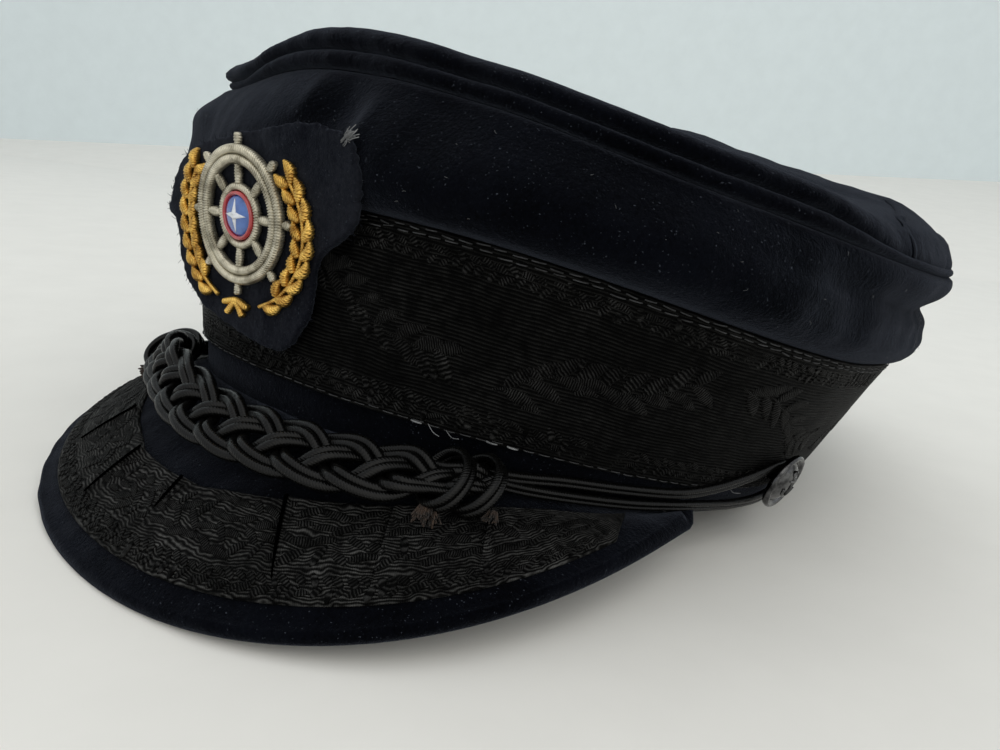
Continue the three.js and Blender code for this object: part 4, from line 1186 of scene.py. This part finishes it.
# %% Tails
TAIL_RUN = (
    (37.0, 6.2, 6.6), (40.5, 5.0, 4.6), (44.5, 4.7, 2.9), (50, 5.3, 1.8), (58.5, 6.4, 1.8), (67.3, 8.6, 2.9),
    (73.5, 11.5, 3), (79.6, 15.9, 3), (84, 19.4, 3), (88.3, 19.6, 3), (91, 15.8, 3), (89.8, 11, 3),
    (86.4, 8, 3), (82.5, 7.2, 3.2), (77.5, 6.7, 3.4), (72, 6.1, 3.4), (67, 5.1, 3.3), (61, 3.9, 3.2),
    (55, 3.1, 3.2), (49, 2.6, 3.5), (44, 2.6, 4.2), (40.5, 3.4, 5.4), (37, 4.6, 6.6),
)
STRAND_RADIUS, STRAND_HALF_HIGH, STRAND_APART, TAIL_STEPS = 0.68, 0.95, 0.62, 260
angle, up, out = np.array(TAIL_RUN).T
for side, name in SIDES:
    path = smooth_path(on_wall(side * angle, up, out), TAIL_STEPS)
    outward = unit(smooth_path(on_wall(side * angle, up, out + 1.0), TAIL_STEPS) - path)
    aside = unit(np.cross(unit(np.gradient(path, axis=0)), outward))
    tail = Cutting()
    for which in (-1, 1):
        lay_cord(tail, path + aside * which * STRAND_APART, outward, STRAND_RADIUS, STRAND_HALF_HIGH, 10)
    tail.piece("tail_" + name, satin_cord, "cord", "cord_tail_" + name)
print("each tail", round(lengths_along(path)[-1]), "mm")

# %% [markdown]
# ## Cut ends
# The cut ends of the cord stick out under each wrap. They were dipped in glue, which has gone brown, and have
# frayed. A single stub with a rough end would look like plastic, so each is a bundle of short fine fibres
# that spread towards their tips, drawn from a fixed seed.

# %% Frayed ends
def fray_finish():
    fray = Recipe("frayed_end", (0.020, 0.015, 0.012), 0.8, Sheen_Weight=0.03)
    glued = fray.spread(fray.noise(700, 2.0, 0.6), 0.35, 0.65, 0.0, 1.0)
    fray.set("Base Color", fray.blend(glued, (0.002, 0.0018, 0.0017), (0.034, 0.017, 0.008)))
    fray.set("Normal", fray.bump(fray.noise(3000, 2.0), 0.0001, 0.5))
    return fray.material


frayed = fray_finish()
SHARE_LENGTH = 95
CUT_ENDS = ((0.445, 13.6, 18.4, 0.008, 2.0, 5.2, 60), (0.542, 12.4, 15.6, 0.004, 1.2, 4.7, 26))
draw = np.random.default_rng(13)
for side, name in SIDES:
    for number, (share, start, end, lean, radius, height, count) in enumerate(CUT_ENDS, 1):
        tuft = Cutting()
        for fibre in range(count):
            way, far = draw.uniform(0, 2 * np.pi), radius * math.sqrt(draw.uniform(0, 0.8))
            run = np.linspace(0, 1, 6)
            spread = far * (0.7 + 0.45 * run) + draw.normal(0, 0.35) * run ** 2
            reach = start + (end - start) * run * draw.uniform(0.72, 1.0)
            sway = math.cos(way) * spread
            lift = height + np.sin(way) * spread * 0.8 + draw.normal(0, 0.3) * run
            at = side * (share + lean * run + sway / SHARE_LENGTH)
            path = on_peak(at, reach, lift)
            thick = draw.uniform(0.22, 0.36) * (1 - 0.45 * run)
            lay_cord(tuft, path, peak_section(at)[2], thick, thick, 6)
        label = "end_%s_%d" % (name, number)
        tuft.piece("frayed_" + label, frayed, "cord_end", "cord_" + label)

# %% [markdown]
# ## Metal and plain thread
# The button is dark silver, rubbed brighter here and there. Sewing thread has no metal in it, but it is
# rubbed in the same way, so one recipe serves both: two tones in soft patches, with a fine unevenness in
# gloss and relief. The last value says how much of it is metal.

# %% Rubbed finish
def rubbed_finish(name, colour, dull, roughness, metallic):
    metal = Recipe(name, colour, roughness, Metallic=metallic)
    rubbed = metal.noise(320, 4.0, 0.65)
    metal.set("Base Color", metal.blend(metal.spread(rubbed, 0.35, 0.62, 0.0, 1.0), dull, colour))
    metal.set("Roughness", metal.spread(metal.noise(900, 3.0), 0.3, 0.7, roughness - 0.06, roughness + 0.14))
    metal.set("Normal", metal.bump(metal.noise(1400, 2.0), 0.00006, 0.35))
    return metal.material


button_metal = rubbed_finish("dark_silver_metal", (0.13, 0.13, 0.132), (0.010, 0.010, 0.011), 0.15, 1.0)
pale_thread = rubbed_finish("pale_thread", (0.20, 0.205, 0.21), (0.08, 0.083, 0.086), 0.8, 0.0)
grey_thread = rubbed_finish("grey_sewing_thread", (0.030, 0.031, 0.033), (0.003, 0.0031, 0.0035), 0.7, 0.0)
print("metal and two threads ready")

# %% [markdown]
# ## The side buttons
# A pressed metal button has a rolled rim, a hollow ring inside it and a low dome with an anchor, the
# plainest sign of the sea. The body is turned like a pot: a profile of radius and height, carried round an
# axis, down to the shank that the cord goes round. The anchor could be carved with a boolean, but a few short
# cords laid on the dome give the same soft pressed relief.

# %% Buttons
BUTTON_ANGLE, BUTTON_UP, BUTTON_SIZE = 85.6, 15.8, 0.86
BUTTON_TILT, BUTTON_TURN = 8.0, 3.0
BUTTON_SEAT, BUTTON_STEPS = 1.6, 72
BUTTON_PROFILE = (
    (0.05, 6.2), (1.6, 6.14), (3.2, 5.9), (4.6, 5.45), (5.8, 4.8), (6.5, 4.25), (6.9, 4.05), (7.25, 4.2),
    (7.6, 4.65), (8.0, 4.95), (8.5, 4.95), (8.9, 4.6), (9.0, 4.1), (8.85, 3.5), (8.3, 3.1), (7.0, 3.0),
    (4.0, 3.0), (1.75, 3.0), (1.7, 2.2), (1.7, 0.0), (0.05, 0.0),
)
ANCHOR = (
    (((0, -3.4), (0, 3.0)), 0.42), (((-1.7, 1.7), (1.7, 1.7)), 0.36),
    (((-3.1, -0.9), (-2.4, -2.6), (0, -3.6), (2.4, -2.6), (3.1, -0.9)), 0.45),
)
ANCHOR_RING_UP, ANCHOR_RING_RADIUS, ANCHOR_RING_HEIGHT = 3.9, 0.9, 5.75


def dome(radius):
    return float(np.interp(radius, [0, 3.2, 5.8], [6.2, 5.9, 4.8]))


for side, name in SIDES:
    seat = on_wall(side * BUTTON_ANGLE, BUTTON_UP, BUTTON_SEAT)
    straight = unit(on_wall(side * BUTTON_ANGLE, BUTTON_UP, BUTTON_SEAT + 1) - seat)
    upward = unit(on_wall(side * BUTTON_ANGLE, BUTTON_UP + 1, BUTTON_SEAT) - seat)
    sideways = np.cross(upward, straight)
    tilt, spin = math.radians(BUTTON_TILT), math.radians(BUTTON_TURN) * side
    normal = straight * math.cos(tilt) * math.cos(spin) + upward * math.sin(tilt)
    normal = normal + sideways * math.sin(spin) * math.cos(tilt)
    upward = unit(upward - normal * (upward @ normal))
    sideways = np.cross(upward, normal)

    def on_button(across, up, height):
        across, up = np.asarray(across) * BUTTON_SIZE, np.asarray(up) * BUTTON_SIZE
        across, up, height = np.broadcast_arrays(across, up, height)
        return seat + sideways * across[..., None] + upward * up[..., None] + normal * height[..., None]

    turn = np.linspace(0, 2 * np.pi, BUTTON_STEPS, endpoint=False)[None]
    radius, height = np.array(BUTTON_PROFILE).T[:, :, None]
    button = Cutting()
    body = on_button(radius * np.cos(turn), radius * np.sin(turn), height)
    button.skin(body, radius[:, 0], np.zeros((1, BUTTON_STEPS + 1)))
    for strokes, wide in ANCHOR:
        flat = smooth_path([(a, b, 0) for a, b in strokes], 22)
        lifted = [dome(math.hypot(a, b)) + 0.05 for a, b in flat[:, :2]]
        stroke = on_button(flat[:, 0], flat[:, 1], lifted)
        lay_cord(button, stroke, np.broadcast_to(normal, stroke.shape), wide, 0.42, 8)
    ring_up = ANCHOR_RING_UP + ANCHOR_RING_RADIUS * np.sin(turn[0])
    ring = on_button(ANCHOR_RING_RADIUS * np.cos(turn[0]), ring_up, ANCHOR_RING_HEIGHT)
    lay_cord(button, ring, np.broadcast_to(normal, ring.shape), 0.28, 0.35, 8, True)
    button.piece("side_button_" + name, button_metal, "button_metal", "button_" + name)

# %% [markdown]
# ## The badge
# The badge is worked on a felt patch that leans with the front of the crown. Everything on it is measured
# right and up from the badge's own middle, on a surface bent back at one side and at its top. Each part could
# be pressed onto the crown by a modifier, but the patch is stiffer than the wool and bridges its hollows, so
# it has this smooth surface of its own.

# %% Surface of the badge
BADGE_ANGLE, BADGE_UP, BADGE_OUT, BADGE_TURN, BADGE_BEND = -5.0, 45.5, 3.9, math.radians(4), 400
LEAN_FROM, LEAN_SLOPE, LEAN_SOFT = -8, 0.165, 6
BEND_FROM, PATCH_THICK = 7, 1.8


def on_badge(right, up, height):
    """A point on the badge's surface: mm to the wearer's left, mm up, mm in front of the patch's back."""
    right, up, height = np.broadcast_arrays(np.asarray(right, float), up, height)
    above = up - LEAN_FROM
    lean = LEAN_SLOPE * (above + np.hypot(above, LEAN_SOFT)) / 2
    away = lean - np.minimum(right - BEND_FROM, 0) ** 2 / (2 * BADGE_BEND) + height
    middle = on_wall(BADGE_ANGLE, BADGE_UP, BADGE_OUT)
    x = right * math.cos(BADGE_TURN) + away * math.sin(BADGE_TURN)
    y = right * math.sin(BADGE_TURN) - away * math.cos(BADGE_TURN)
    return middle + np.stack([x, y, up], -1)


print("middle of the badge", np.round(on_badge(0.0, 0.0, 0.0), 1))

# %% [markdown]
# ### The felt patch
# The patch is cut by hand, so its outline is uneven. A curve with a filled face would have no thickness and
# a hard edge. So the outline is cut first, roughened a little, and then shrunk ring by ring towards the
# middle, which gives a soft cushioned edge and an upper side that can be lumpy.

# %% Badge patch
PATCH_OUTLINE = (
    (40, 1), (42, 7), (40, 17), (32, 20), (23, 20), (11, 18), (-1, 16), (-13, 13), (-21, 9), (-29, -2),
    (-25, -6), (-20, -18), (-10, -24), (2, -27), (19, -29), (27, -22), (29, -15), (30, -7),
)
PATCH_STEPS, PATCH_ROWS = 400, 26
closed = np.array(PATCH_OUTLINE + PATCH_OUTLINE[:3], float)
outline = smooth_path(np.c_[closed, np.zeros(len(closed))], PATCH_STEPS)[:, :2]
from_start, halfway = np.hypot(*(outline - PATCH_OUTLINE[1]).T), PATCH_STEPS // 2
outline = outline[int(np.argmin(from_start[:halfway])):halfway + int(np.argmin(from_start[halfway:]))]
ragged = np.c_[outline, np.zeros(len(outline))]
heart = np.array([8.0, -3.0])
uneven = 0.006 * ripples(ragged, 6, 61) + 0.007 * ripples(ragged, 1.6, 62)
spokes = (outline - heart) * (1 + uneven)[:, None]
inner_share = np.linspace(0.02, 0.965, PATCH_ROWS)
edge_share = np.array([0.985, 0.997, 1.0, 0.998, 0.985])
edge_height = np.array([1.75, 1.5, 1.1, 0.6, 0.15])
below = inner_share[::-3]
share = np.concatenate([inner_share, edge_share, below])
height = np.concatenate([np.full(PATCH_ROWS, PATCH_THICK), edge_height, np.zeros(len(below))])
flat = heart + spokes[None] * share[:, None, None]
bumpy = np.concatenate([flat, np.zeros((*flat.shape[:2], 1))], -1)
lumps = (0.14 * ripples(bumpy, 9, 63) + 0.09 * ripples(bumpy, 3, 64)) * (height > 1)[:, None]
patch = Cutting()
rings = on_badge(flat[..., 0], flat[..., 1], height[:, None] + lumps)
patch.skin(rings, share * 30, np.zeros((1, len(outline) + 1)))
felt_patch = patch.piece("badge_felt", felt, "felt", "badge_patch")

# %% [markdown]
# ### The patch's edge
# Cut felt sheds its fibres along the edge. A hair system would need its own shader and would be lost when
# the model is exported, so a few hundred hairs, a tenth of a millimetre thick, are drawn as tiny cords. They
# soften the outline, and a pale tuft of backing sticks out at the upper corner.

# %% Frayed edge of the patch
FRINGE_HAIRS, TUFT_HAIRS, HAIR_RADIUS, TUFT_RADIUS = 330, 26, 0.07, 0.10
TUFT_RIGHT, TUFT_UP = 37.5, 17.5
FORWARD, FORWARD_UP = np.array([0.0, -1.0, 0.2]), np.array([0.0, -1.0, 0.3])
draw = np.random.default_rng(14)
fringe = Cutting()
for hair in range(FRINGE_HAIRS):
    spot = draw.integers(len(outline))
    way = unit(spokes[spot][None])[0]
    way = unit((way + draw.normal(0, 0.55, 2))[None])[0]
    length = draw.uniform(0.5, 1.7)
    run = np.linspace(0, 1, 4)[:, None]
    bend = np.array([-way[1], way[0]]) * draw.normal(0, 0.35)
    flat = heart + spokes[spot] * 0.985 + way * run * length + bend * run ** 2
    path = on_badge(flat[:, 0], flat[:, 1], draw.uniform(0.3, 1.9) + draw.normal(0, 0.3) * run[:, 0])
    thin = HAIR_RADIUS * (1 - 0.5 * run[:, 0])
    lay_cord(fringe, path, np.broadcast_to(FORWARD_UP, path.shape), thin, None, 4)
fringe.piece("badge_fringe", felt, "felt")
tuft = Cutting()
for hair in range(TUFT_HAIRS):
    run = np.linspace(0, 1, 5)
    reach, side = draw.uniform(1.5, 4.2), draw.normal(0, 0.9)
    right = TUFT_RIGHT + run * reach + side * run ** 2
    up = TUFT_UP + run * draw.uniform(0.5, 3.0) + draw.normal(0, 0.5)
    path = on_badge(right, up, draw.uniform(0.8, 2.2) + run * draw.normal(0.4, 0.4))
    lay_cord(tuft, path, np.broadcast_to(FORWARD, path.shape), TUFT_RADIUS, None, 4)
tuft.piece("badge_backing_tuft", pale_thread, "felt")

# %% [markdown]
# ## Bullion
# Bullion is a fine metal thread wound into a spring and laid in rows, so every cord of it has ridges across
# it, a little over half a millimetre apart. Winding a real helix would take ten times as many faces. Here
# the ridges are in the shape in a simpler way: the cord's thickness swells and narrows at that pitch. The
# finish is tarnished metal, darker between the turns.

# %% Bullion
BULLION_PITCH, RIDGE_DEPTH, BULLION_STEP = 0.62, 0.13, 0.13


def bullion_finish(name, bright, dark, roughness, metallic):
    """Tarnished metal thread, bright on its turns and stained in patches."""
    bullion = Recipe(name, bright, roughness, Metallic=metallic)
    along, girth = bullion.cloth()
    helix = bullion.maths("ADD", along, bullion.maths("MULTIPLY", girth, 0.25))
    turns = bullion.stripes(helix, BULLION_PITCH / 2)
    stained = bullion.spread(bullion.noise(260, 3.0, 0.6), 0.36, 0.66, 0.0, 0.75)
    shade = bullion.maths("MULTIPLY_ADD", bullion.maths("SUBTRACT", 1.0, turns), 0.45, stained)
    bullion.set("Base Color", bullion.blend(bullion.spread(shade, 0.1, 1.0, 0.0, 1.0), bright, dark))
    bullion.set("Normal", bullion.bump(turns, 0.00006, 0.8))
    return bullion.material


silver = bullion_finish("silver_bullion", (0.66, 0.62, 0.50), (0.20, 0.18, 0.13), 0.34, 0.75)
gold = bullion_finish("gold_bullion", (0.86, 0.56, 0.14), (0.30, 0.15, 0.03), 0.30, 0.9)


def lay_bullion(cutting, path, outward, wide, high, sides=10, endless=False):
    """A ridged cord along a path that has about five points to a ridge."""
    along = lengths_along(path)
    swell = 1 + RIDGE_DEPTH * np.sin(2 * np.pi * along / BULLION_PITCH)
    lay_cord(cutting, path, outward, wide * swell, high * swell, sides, endless)


def badge_path(points, height):
    """A round curve on the badge through right and up places, with its outward directions."""
    flat = smooth_path([(a, b, 0) for a, b in points], 60)
    count = max(int(lengths_along(flat)[-1] / BULLION_STEP), 8)
    flat = smooth_path([(a, b, 0) for a, b in points], count)
    path = on_badge(flat[:, 0], flat[:, 1], height)
    return path, unit(on_badge(flat[:, 0], flat[:, 1], height + 1.0) - path)


print("bullion ridges", BULLION_PITCH, "mm apart")

# %% [markdown]
# ## The ship's wheel
# A plain wheel is a common sign of the sea, and here it is worked in silver bullion: two cords side by side
# for the rim, one for the hub, eight spokes, and a grip outside the rim on each. Torus and cylinder shapes
# could be joined, but the real thing is couched thread, so each part is a length of the same ridged cord.

# %% Ship's wheel
WHEEL_RIGHT, WHEEL_UP, WHEEL_RADIUS, HUB_RADIUS, SPOKES = 5.5, -1.0, 13.3, 6.4, 8
RIM_APART, RING_STEP, BADGE_TOP = 1.05, 0.125, PATCH_THICK + 0.3
SPOKE_RADII, GRIP_RADII = (7.2, 9.2, 11.3), (15.4, 16.6, 17.8)
RINGS = (
    (WHEEL_RADIUS - RIM_APART, 1.0, 1.25), (WHEEL_RADIUS + RIM_APART, 1.0, 1.25), (HUB_RADIUS, 0.85, 1.0),
)
wheel = Cutting()


def wheel_place(radius, turn):
    return WHEEL_RIGHT + radius * np.sin(turn), WHEEL_UP + radius * np.cos(turn)


for radius, wide, high in RINGS:
    count = int(2 * math.pi * radius / RING_STEP)
    turn = np.linspace(0, 2 * np.pi, count, endpoint=False)
    path = on_badge(*wheel_place(radius, turn), BADGE_TOP + high)
    outward = unit(on_badge(*wheel_place(radius, turn), BADGE_TOP + high + 1.0) - path)
    lay_bullion(wheel, path, outward, wide, high, endless=True)
for number in range(SPOKES):
    turn = math.radians(360 / SPOKES * number)
    path, outward = badge_path([wheel_place(radius, turn) for radius in SPOKE_RADII], BADGE_TOP + 1.0)
    taper = 0.75 + 0.35 * np.sin(np.linspace(0, np.pi, len(path)))
    lay_bullion(wheel, path, outward, taper, 0.9)
    path, outward = badge_path([wheel_place(radius, turn) for radius in GRIP_RADII], BADGE_TOP + 0.9)
    taper = 0.55 + 0.5 * np.sin(np.linspace(0.2, np.pi, len(path)))
    lay_bullion(wheel, path, outward, taper, 0.85)
wheel.piece("badge_ships_wheel", silver, "silver_thread", "badge_wheel")

# %% [markdown]
# ## The laurel sprays
# A spray of gold leaves stands on each side of the wheel: a thin stem bent round it, with pairs of fat leaves
# that point up along it. A leaf could be modelled once and copied, but each one has to lie on the bent
# surface of the badge, so it is laid afresh as a short, swelling cord. A small bow ties the two sprays below.

# %% Laurel sprays
SPRAY_RADIUS, SPRAY_FROM, SPRAY_TO, SPRAY_STRETCH, SPRAY_RISE = 18.5, 22, 128, 1.15, -3
LEAF_PAIRS, FIRST_INNER = 9, math.radians(34)
LEAF = ((0.5, 0), (1.9, 6), (2.1, 13))
BOW = (((1.2, -21.2), (5.5, -20.2), (9.8, -21.2)), ((2.6, -23.4), (5.5, -20.8), (8.4, -23.4)))


def spray_place(side, radius, turn):
    """A point on a spray: its radius from the spray's middle, and the turn from straight down."""
    across = side * SPRAY_STRETCH * radius * math.sin(turn)
    return WHEEL_RIGHT + across, SPRAY_RISE - radius * math.cos(turn)


for side, name in SIDES:
    laurel = Cutting()
    arc = np.radians(np.linspace(SPRAY_FROM, SPRAY_TO, LEAF_PAIRS))
    path, outward = badge_path([spray_place(side, SPRAY_RADIUS, turn) for turn in arc], BADGE_TOP + 0.6)
    lay_bullion(laurel, path, outward, 0.5, 0.6, 8)
    for turn in np.radians(np.linspace(SPRAY_FROM + 6, SPRAY_TO - 3, LEAF_PAIRS)):
        for swing in (1, -1):
            if swing < 0 and turn < FIRST_INNER:
                continue
            leaf = [spray_place(side, SPRAY_RADIUS + off * swing, turn + math.radians(on))
                    for off, on in LEAF]
            path, outward = badge_path(leaf, BADGE_TOP + 0.95)
            fat = 0.25 + 1.0 * np.sin(np.pi * np.linspace(0.03, 0.98, len(path)) ** 0.8)
            lay_bullion(laurel, path, outward, fat, 0.3 + 0.75 * fat)
    for ends in BOW if side == 1 else ():
        path, outward = badge_path(ends, BADGE_TOP + 1.1)
        lay_bullion(laurel, path, outward, 0.75, 0.9)
    laurel.piece("badge_laurel_" + name, gold, "gold_thread", "badge_spray_" + name)

# %% [markdown]
# ## The enamel boss
# In the middle of the wheel sits a small enamel boss: a blue disc with a red rim and a white compass star.
# One disc with a painted pattern would do from afar, but enamel of two colours is never quite level. So each
# colour is a low body of its own, and each has the same glassy coat.

# %% Enamel boss
def enamel_finish(name, colour, deep):
    enamel = Recipe(name, colour, 0.22, Coat_Weight=0.8, Coat_Roughness=0.06)
    cloudy = enamel.noise(600, 3.0, 0.6)
    enamel.set("Base Color", enamel.blend(enamel.spread(cloudy, 0.35, 0.65, 0.0, 1.0), deep, colour))
    enamel.set("Normal", enamel.bump(enamel.noise(900, 2.0), 0.00005, 0.3))
    return enamel.material


BOSS_PROFILE = (
    (0.03, 2.7), (1.5, 2.62), (3.0, 2.35), (3.9, 2.05), (4.4, 1.7), (4.5, 1.0), (4.4, 0.0), (0.03, 0.0),
)
BOSS_STEPS, BOSS_RIM, STAR_REACH, STAR_POINTS = 64, 4.95, 3.6, 4
STAR_MIDDLE, STAR_TIP = 2.85, 2.2
blue = enamel_finish("blue_enamel", (0.045, 0.13, 0.40), (0.03, 0.085, 0.30))
red = enamel_finish("red_enamel", (0.42, 0.025, 0.03), (0.28, 0.012, 0.018))
white = enamel_finish("white_enamel", (0.72, 0.74, 0.78), (0.55, 0.58, 0.64))
turn = np.linspace(0, 2 * np.pi, BOSS_STEPS, endpoint=False)
radius, lift = np.array(BOSS_PROFILE).T[:, :, None]
boss = Cutting()
body = on_badge(*wheel_place(radius, -turn[None]), BADGE_TOP + lift)
boss.skin(body, radius[:, 0], np.zeros((1, BOSS_STEPS + 1)))
boss.piece("badge_boss", blue, "enamel", "badge_disc")
rim = Cutting()
path = on_badge(*wheel_place(BOSS_RIM, turn), BADGE_TOP + 1.5)
outward = unit(on_badge(*wheel_place(BOSS_RIM, turn), BADGE_TOP + 2.5) - path)
lay_cord(rim, path, outward, 0.5, 0.75, 10, True)
rim.piece("badge_boss_rim", red, "enamel")
star = Cutting()
run = np.linspace(0, 1, 9)
for number in range(STAR_POINTS):
    place = wheel_place(STAR_REACH * run, 2 * math.pi * number / STAR_POINTS)
    height = np.interp(STAR_REACH * run, [0, STAR_REACH], [STAR_MIDDLE, STAR_TIP])
    path = on_badge(*place, BADGE_TOP + height)
    outward = unit(on_badge(*place, BADGE_TOP + 4.0) - path)
    lay_cord(star, path, outward, 0.95 * (1.02 - run), 0.22, 8)
star.piece("badge_compass_star", white, "enamel")

# %% [markdown]
# ## Stitches
# The ribbon is sewn along both edges by machine. Grey dashes of thread lie on it, two or three millimetres
# long, in two lines along the top and one along the foot. A dashed line in the finish would lie flat, so each
# stitch is a short cord that arches a little and slips a little out of line.

# %% Ribbon stitches
STITCH_PITCH, STITCH_LENGTH, TOP_LINES, FOOT_LINE = 3.5, 2.4, (40.3, 39.3), 0.7


def lay_stitch(cutting, start, end, up_start, up_end, lift, radius):
    """A stitch on the band's ribbon, between two places round the head."""
    run = np.linspace(0, 1, 7)
    line = start + (end - start) * run
    up = up_start + (up_end - up_start) * run
    arch = lift * np.sin(np.pi * run) ** 0.6
    path = ribbon_place(line, up, arch)
    outward = unit(ribbon_place(line, up, arch + 1.0) - path)
    lay_cord(cutting, path, outward, radius, radius, 6)


draw = np.random.default_rng(15)
last_stitch = round_head[-1] - 4
sewing = Cutting()
for row, up in enumerate(TOP_LINES):
    for start in np.arange(0.8 * row, last_stitch, STITCH_PITCH):
        slip = draw.normal(0, 0.16)
        reach = draw.uniform(2.0, 2.9)
        lay_stitch(sewing, start, start + reach, up + slip, up + slip + draw.normal(0, 0.18), 0.24, 0.15)
for start in np.arange(2, last_stitch, STITCH_PITCH):
    slip = draw.normal(0, 0.12)
    lay_stitch(sewing, start, start + STITCH_LENGTH, FOOT_LINE + slip, FOOT_LINE + slip, 0.2, 0.13)
sewing.piece("ribbon_stitches", grey_thread, "ribbon")

# %% [markdown]
# ## Pale stitches and loose ends
# At the foot of the ribbon a few stitches were mended with pale thread, and some ends hang out. These are
# the cap's own, so each has its place: mm round the head from the front, and mm up the ribbon. A random
# scatter would be quicker, but the eye finds these bright spots at once.

# %% Pale stitches and ends
PALE_STITCHES = ((43.6, 0.6), (60.3, 0.5), (64.9, 0.55))
LOOSE_ENDS = (
    ((47.5, 0.9), (48.8, -0.4), (50.3, -0.9)), ((51.5, 0.6), (53.0, -0.5), (54.6, -0.2)),
    ((120, 0.5), (122, -0.6), (121, -1.2)), ((131, 0.3), (133, -0.5), (136, -0.4)),
)
threads = Cutting()
for start, up in PALE_STITCHES:
    lay_stitch(threads, start, start + STITCH_LENGTH, up, up - 0.1, 0.30, 0.19)
for points in LOOSE_ENDS:
    along, up, off = smooth_path([(a, b, 0.3 + 0.35 * k) for k, (a, b) in enumerate(points)], 16).T
    path = ribbon_place(along, up, off)
    lay_cord(threads, path, unit(ribbon_place(along, up, off + 1) - path), 0.08, None, 5)
threads.piece("pale_thread_ends", pale_thread, "ribbon")

# %% [markdown]
# ## Lint
# Dark wool picks up lint. Short pale fibres lie on the crown's side here and there, each a bent hair about a
# millimetre long. Specks in the finish give the finest of it. These larger ones stand off the cloth and catch
# light, so they are thin cords, dropped at random places from a fixed seed.

# %% Lint
LINT_HAIRS, LINT_LIFT, LINT_ARCH, LINT_RADIUS = 60, 0.2, 0.25, 0.028
draw = np.random.default_rng(16)
lint = Cutting()
run = np.linspace(0, 1, 5)[:, None]
for hair in range(LINT_HAIRS):
    angle, share = np.array(draw.uniform(-50, 130) % 360), np.array(draw.uniform(0.1, 0.95))
    base = side_place(angle, share)
    outward = unit(side_place(angle, share, 1.0) - base)
    way = unit(np.cross(outward, draw.normal(size=3)))
    length, curl = draw.uniform(0.3, 1.2), draw.normal(0, 0.4)
    path = base + outward * LINT_LIFT + way * run * length + np.cross(outward, way) * curl * run ** 2
    path = path + outward * LINT_ARCH * np.sin(np.pi * run)
    lay_cord(lint, path, np.broadcast_to(outward, path.shape), LINT_RADIUS, None, 4)
lint.piece("crown_lint", pale_thread, "wool")

# %% [markdown]
# ## Table and wall
# The cap lies on a pale table in front of a pale wall, both plain. A curved studio sweep would hide the line
# between them, but that line is part of the picture. So the table is two flat sheets and the wall is one that
# stands on their far edge, and the finish only mottles them faintly.

# %% Stage
WALL_FOOT = Vector((-5.82, -2.87, 0)), Vector((-2.268, 0.182, 0)), Vector((1.601, 3.509, 0.266))
WALL_RISE = Vector((0, 0, 2.5))
TABLE_NEAR, TABLE_RIGHT, TABLE_FAR = (-1.5, -7, 0), (6, -4, 0), (4, 2.2, 0)


def plain_finish(name, colour):
    """One pale colour, faintly mottled."""
    plain = Recipe(name, colour, 0.85)
    grain = plain.noise(30, 4.0, 0.6)
    tint = tuple(value * 0.96 for value in colour)
    plain.set("Base Color", plain.blend(plain.spread(grain, 0.3, 0.7, 0.0, 1.0), tint, colour))
    return plain.material


def stage_sheet(name, corners, finish):
    mesh = bpy.data.meshes.new(name)
    mesh.from_pydata(corners, [], [tuple(range(len(corners)))])
    mesh.materials.append(finish)
    made = bpy.data.objects.new(name, mesh)
    bpy.context.scene.collection.objects.link(made)


table = plain_finish("pale_table", (0.765, 0.752, 0.712))
wall = plain_finish("pale_wall", (0.69, 0.755, 0.765))
stage_sheet("floor", [TABLE_NEAR, TABLE_RIGHT, TABLE_FAR, WALL_FOOT[1], WALL_FOOT[0]], table)
stage_sheet("floor_far", [WALL_FOOT[1], TABLE_FAR, WALL_FOOT[2]], table)
stage_sheet("backdrop", [*WALL_FOOT, WALL_FOOT[2] + WALL_RISE, WALL_FOOT[0] + WALL_RISE], wall)
print("table and wall ready")

# %% [markdown]
# ## Light
# The light is that of a room: soft, mostly from above, a little warmer from the front right, and cool from
# a window behind on the left. Small lamps would draw hard shadows, so three broad discs do it, each nearly
# two metres wide or more, and an even pale sky fills in what they leave dark.

# %% Light
SKY_COLOUR, SKY_STRENGTH = (0.95, 0.98, 1.0, 1), 0.86


def lamp(name, size, power, place, target, colour=(1, 1, 1)):
    light = bpy.data.lights.new(name, "AREA")
    light.color = colour
    light.shape = "DISK"
    light.size = size
    light.energy = power
    made = bpy.data.objects.new(name, light)
    bpy.context.scene.collection.objects.link(made)
    made.matrix_world = aim(Vector(place), Vector(target), 0)


lamp("window", 1.8, 0.9, (-1.0, 0.2, 1.3), (0, 0, 0.05), (0.95, 0.98, 1.0))
lamp("room_light", 2.4, 9.0, (1.15, -0.9, 1.0), (0.1, -0.1, 0.05), (1.0, 0.94, 0.82))
lamp("ceiling", 2.2, 6.0, (0.2, 0.2, 1.8), (0, 0, 0.05))
sky = bpy.data.worlds.new("room")
sky.use_nodes = True
sky.node_tree.nodes["Background"].inputs["Color"].default_value = SKY_COLOUR
sky.node_tree.nodes["Background"].inputs["Strength"].default_value = SKY_STRENGTH
bpy.context.scene.world = sky
bpy.context.scene.view_settings.view_transform = "Standard"
print("three lamps and a pale sky")
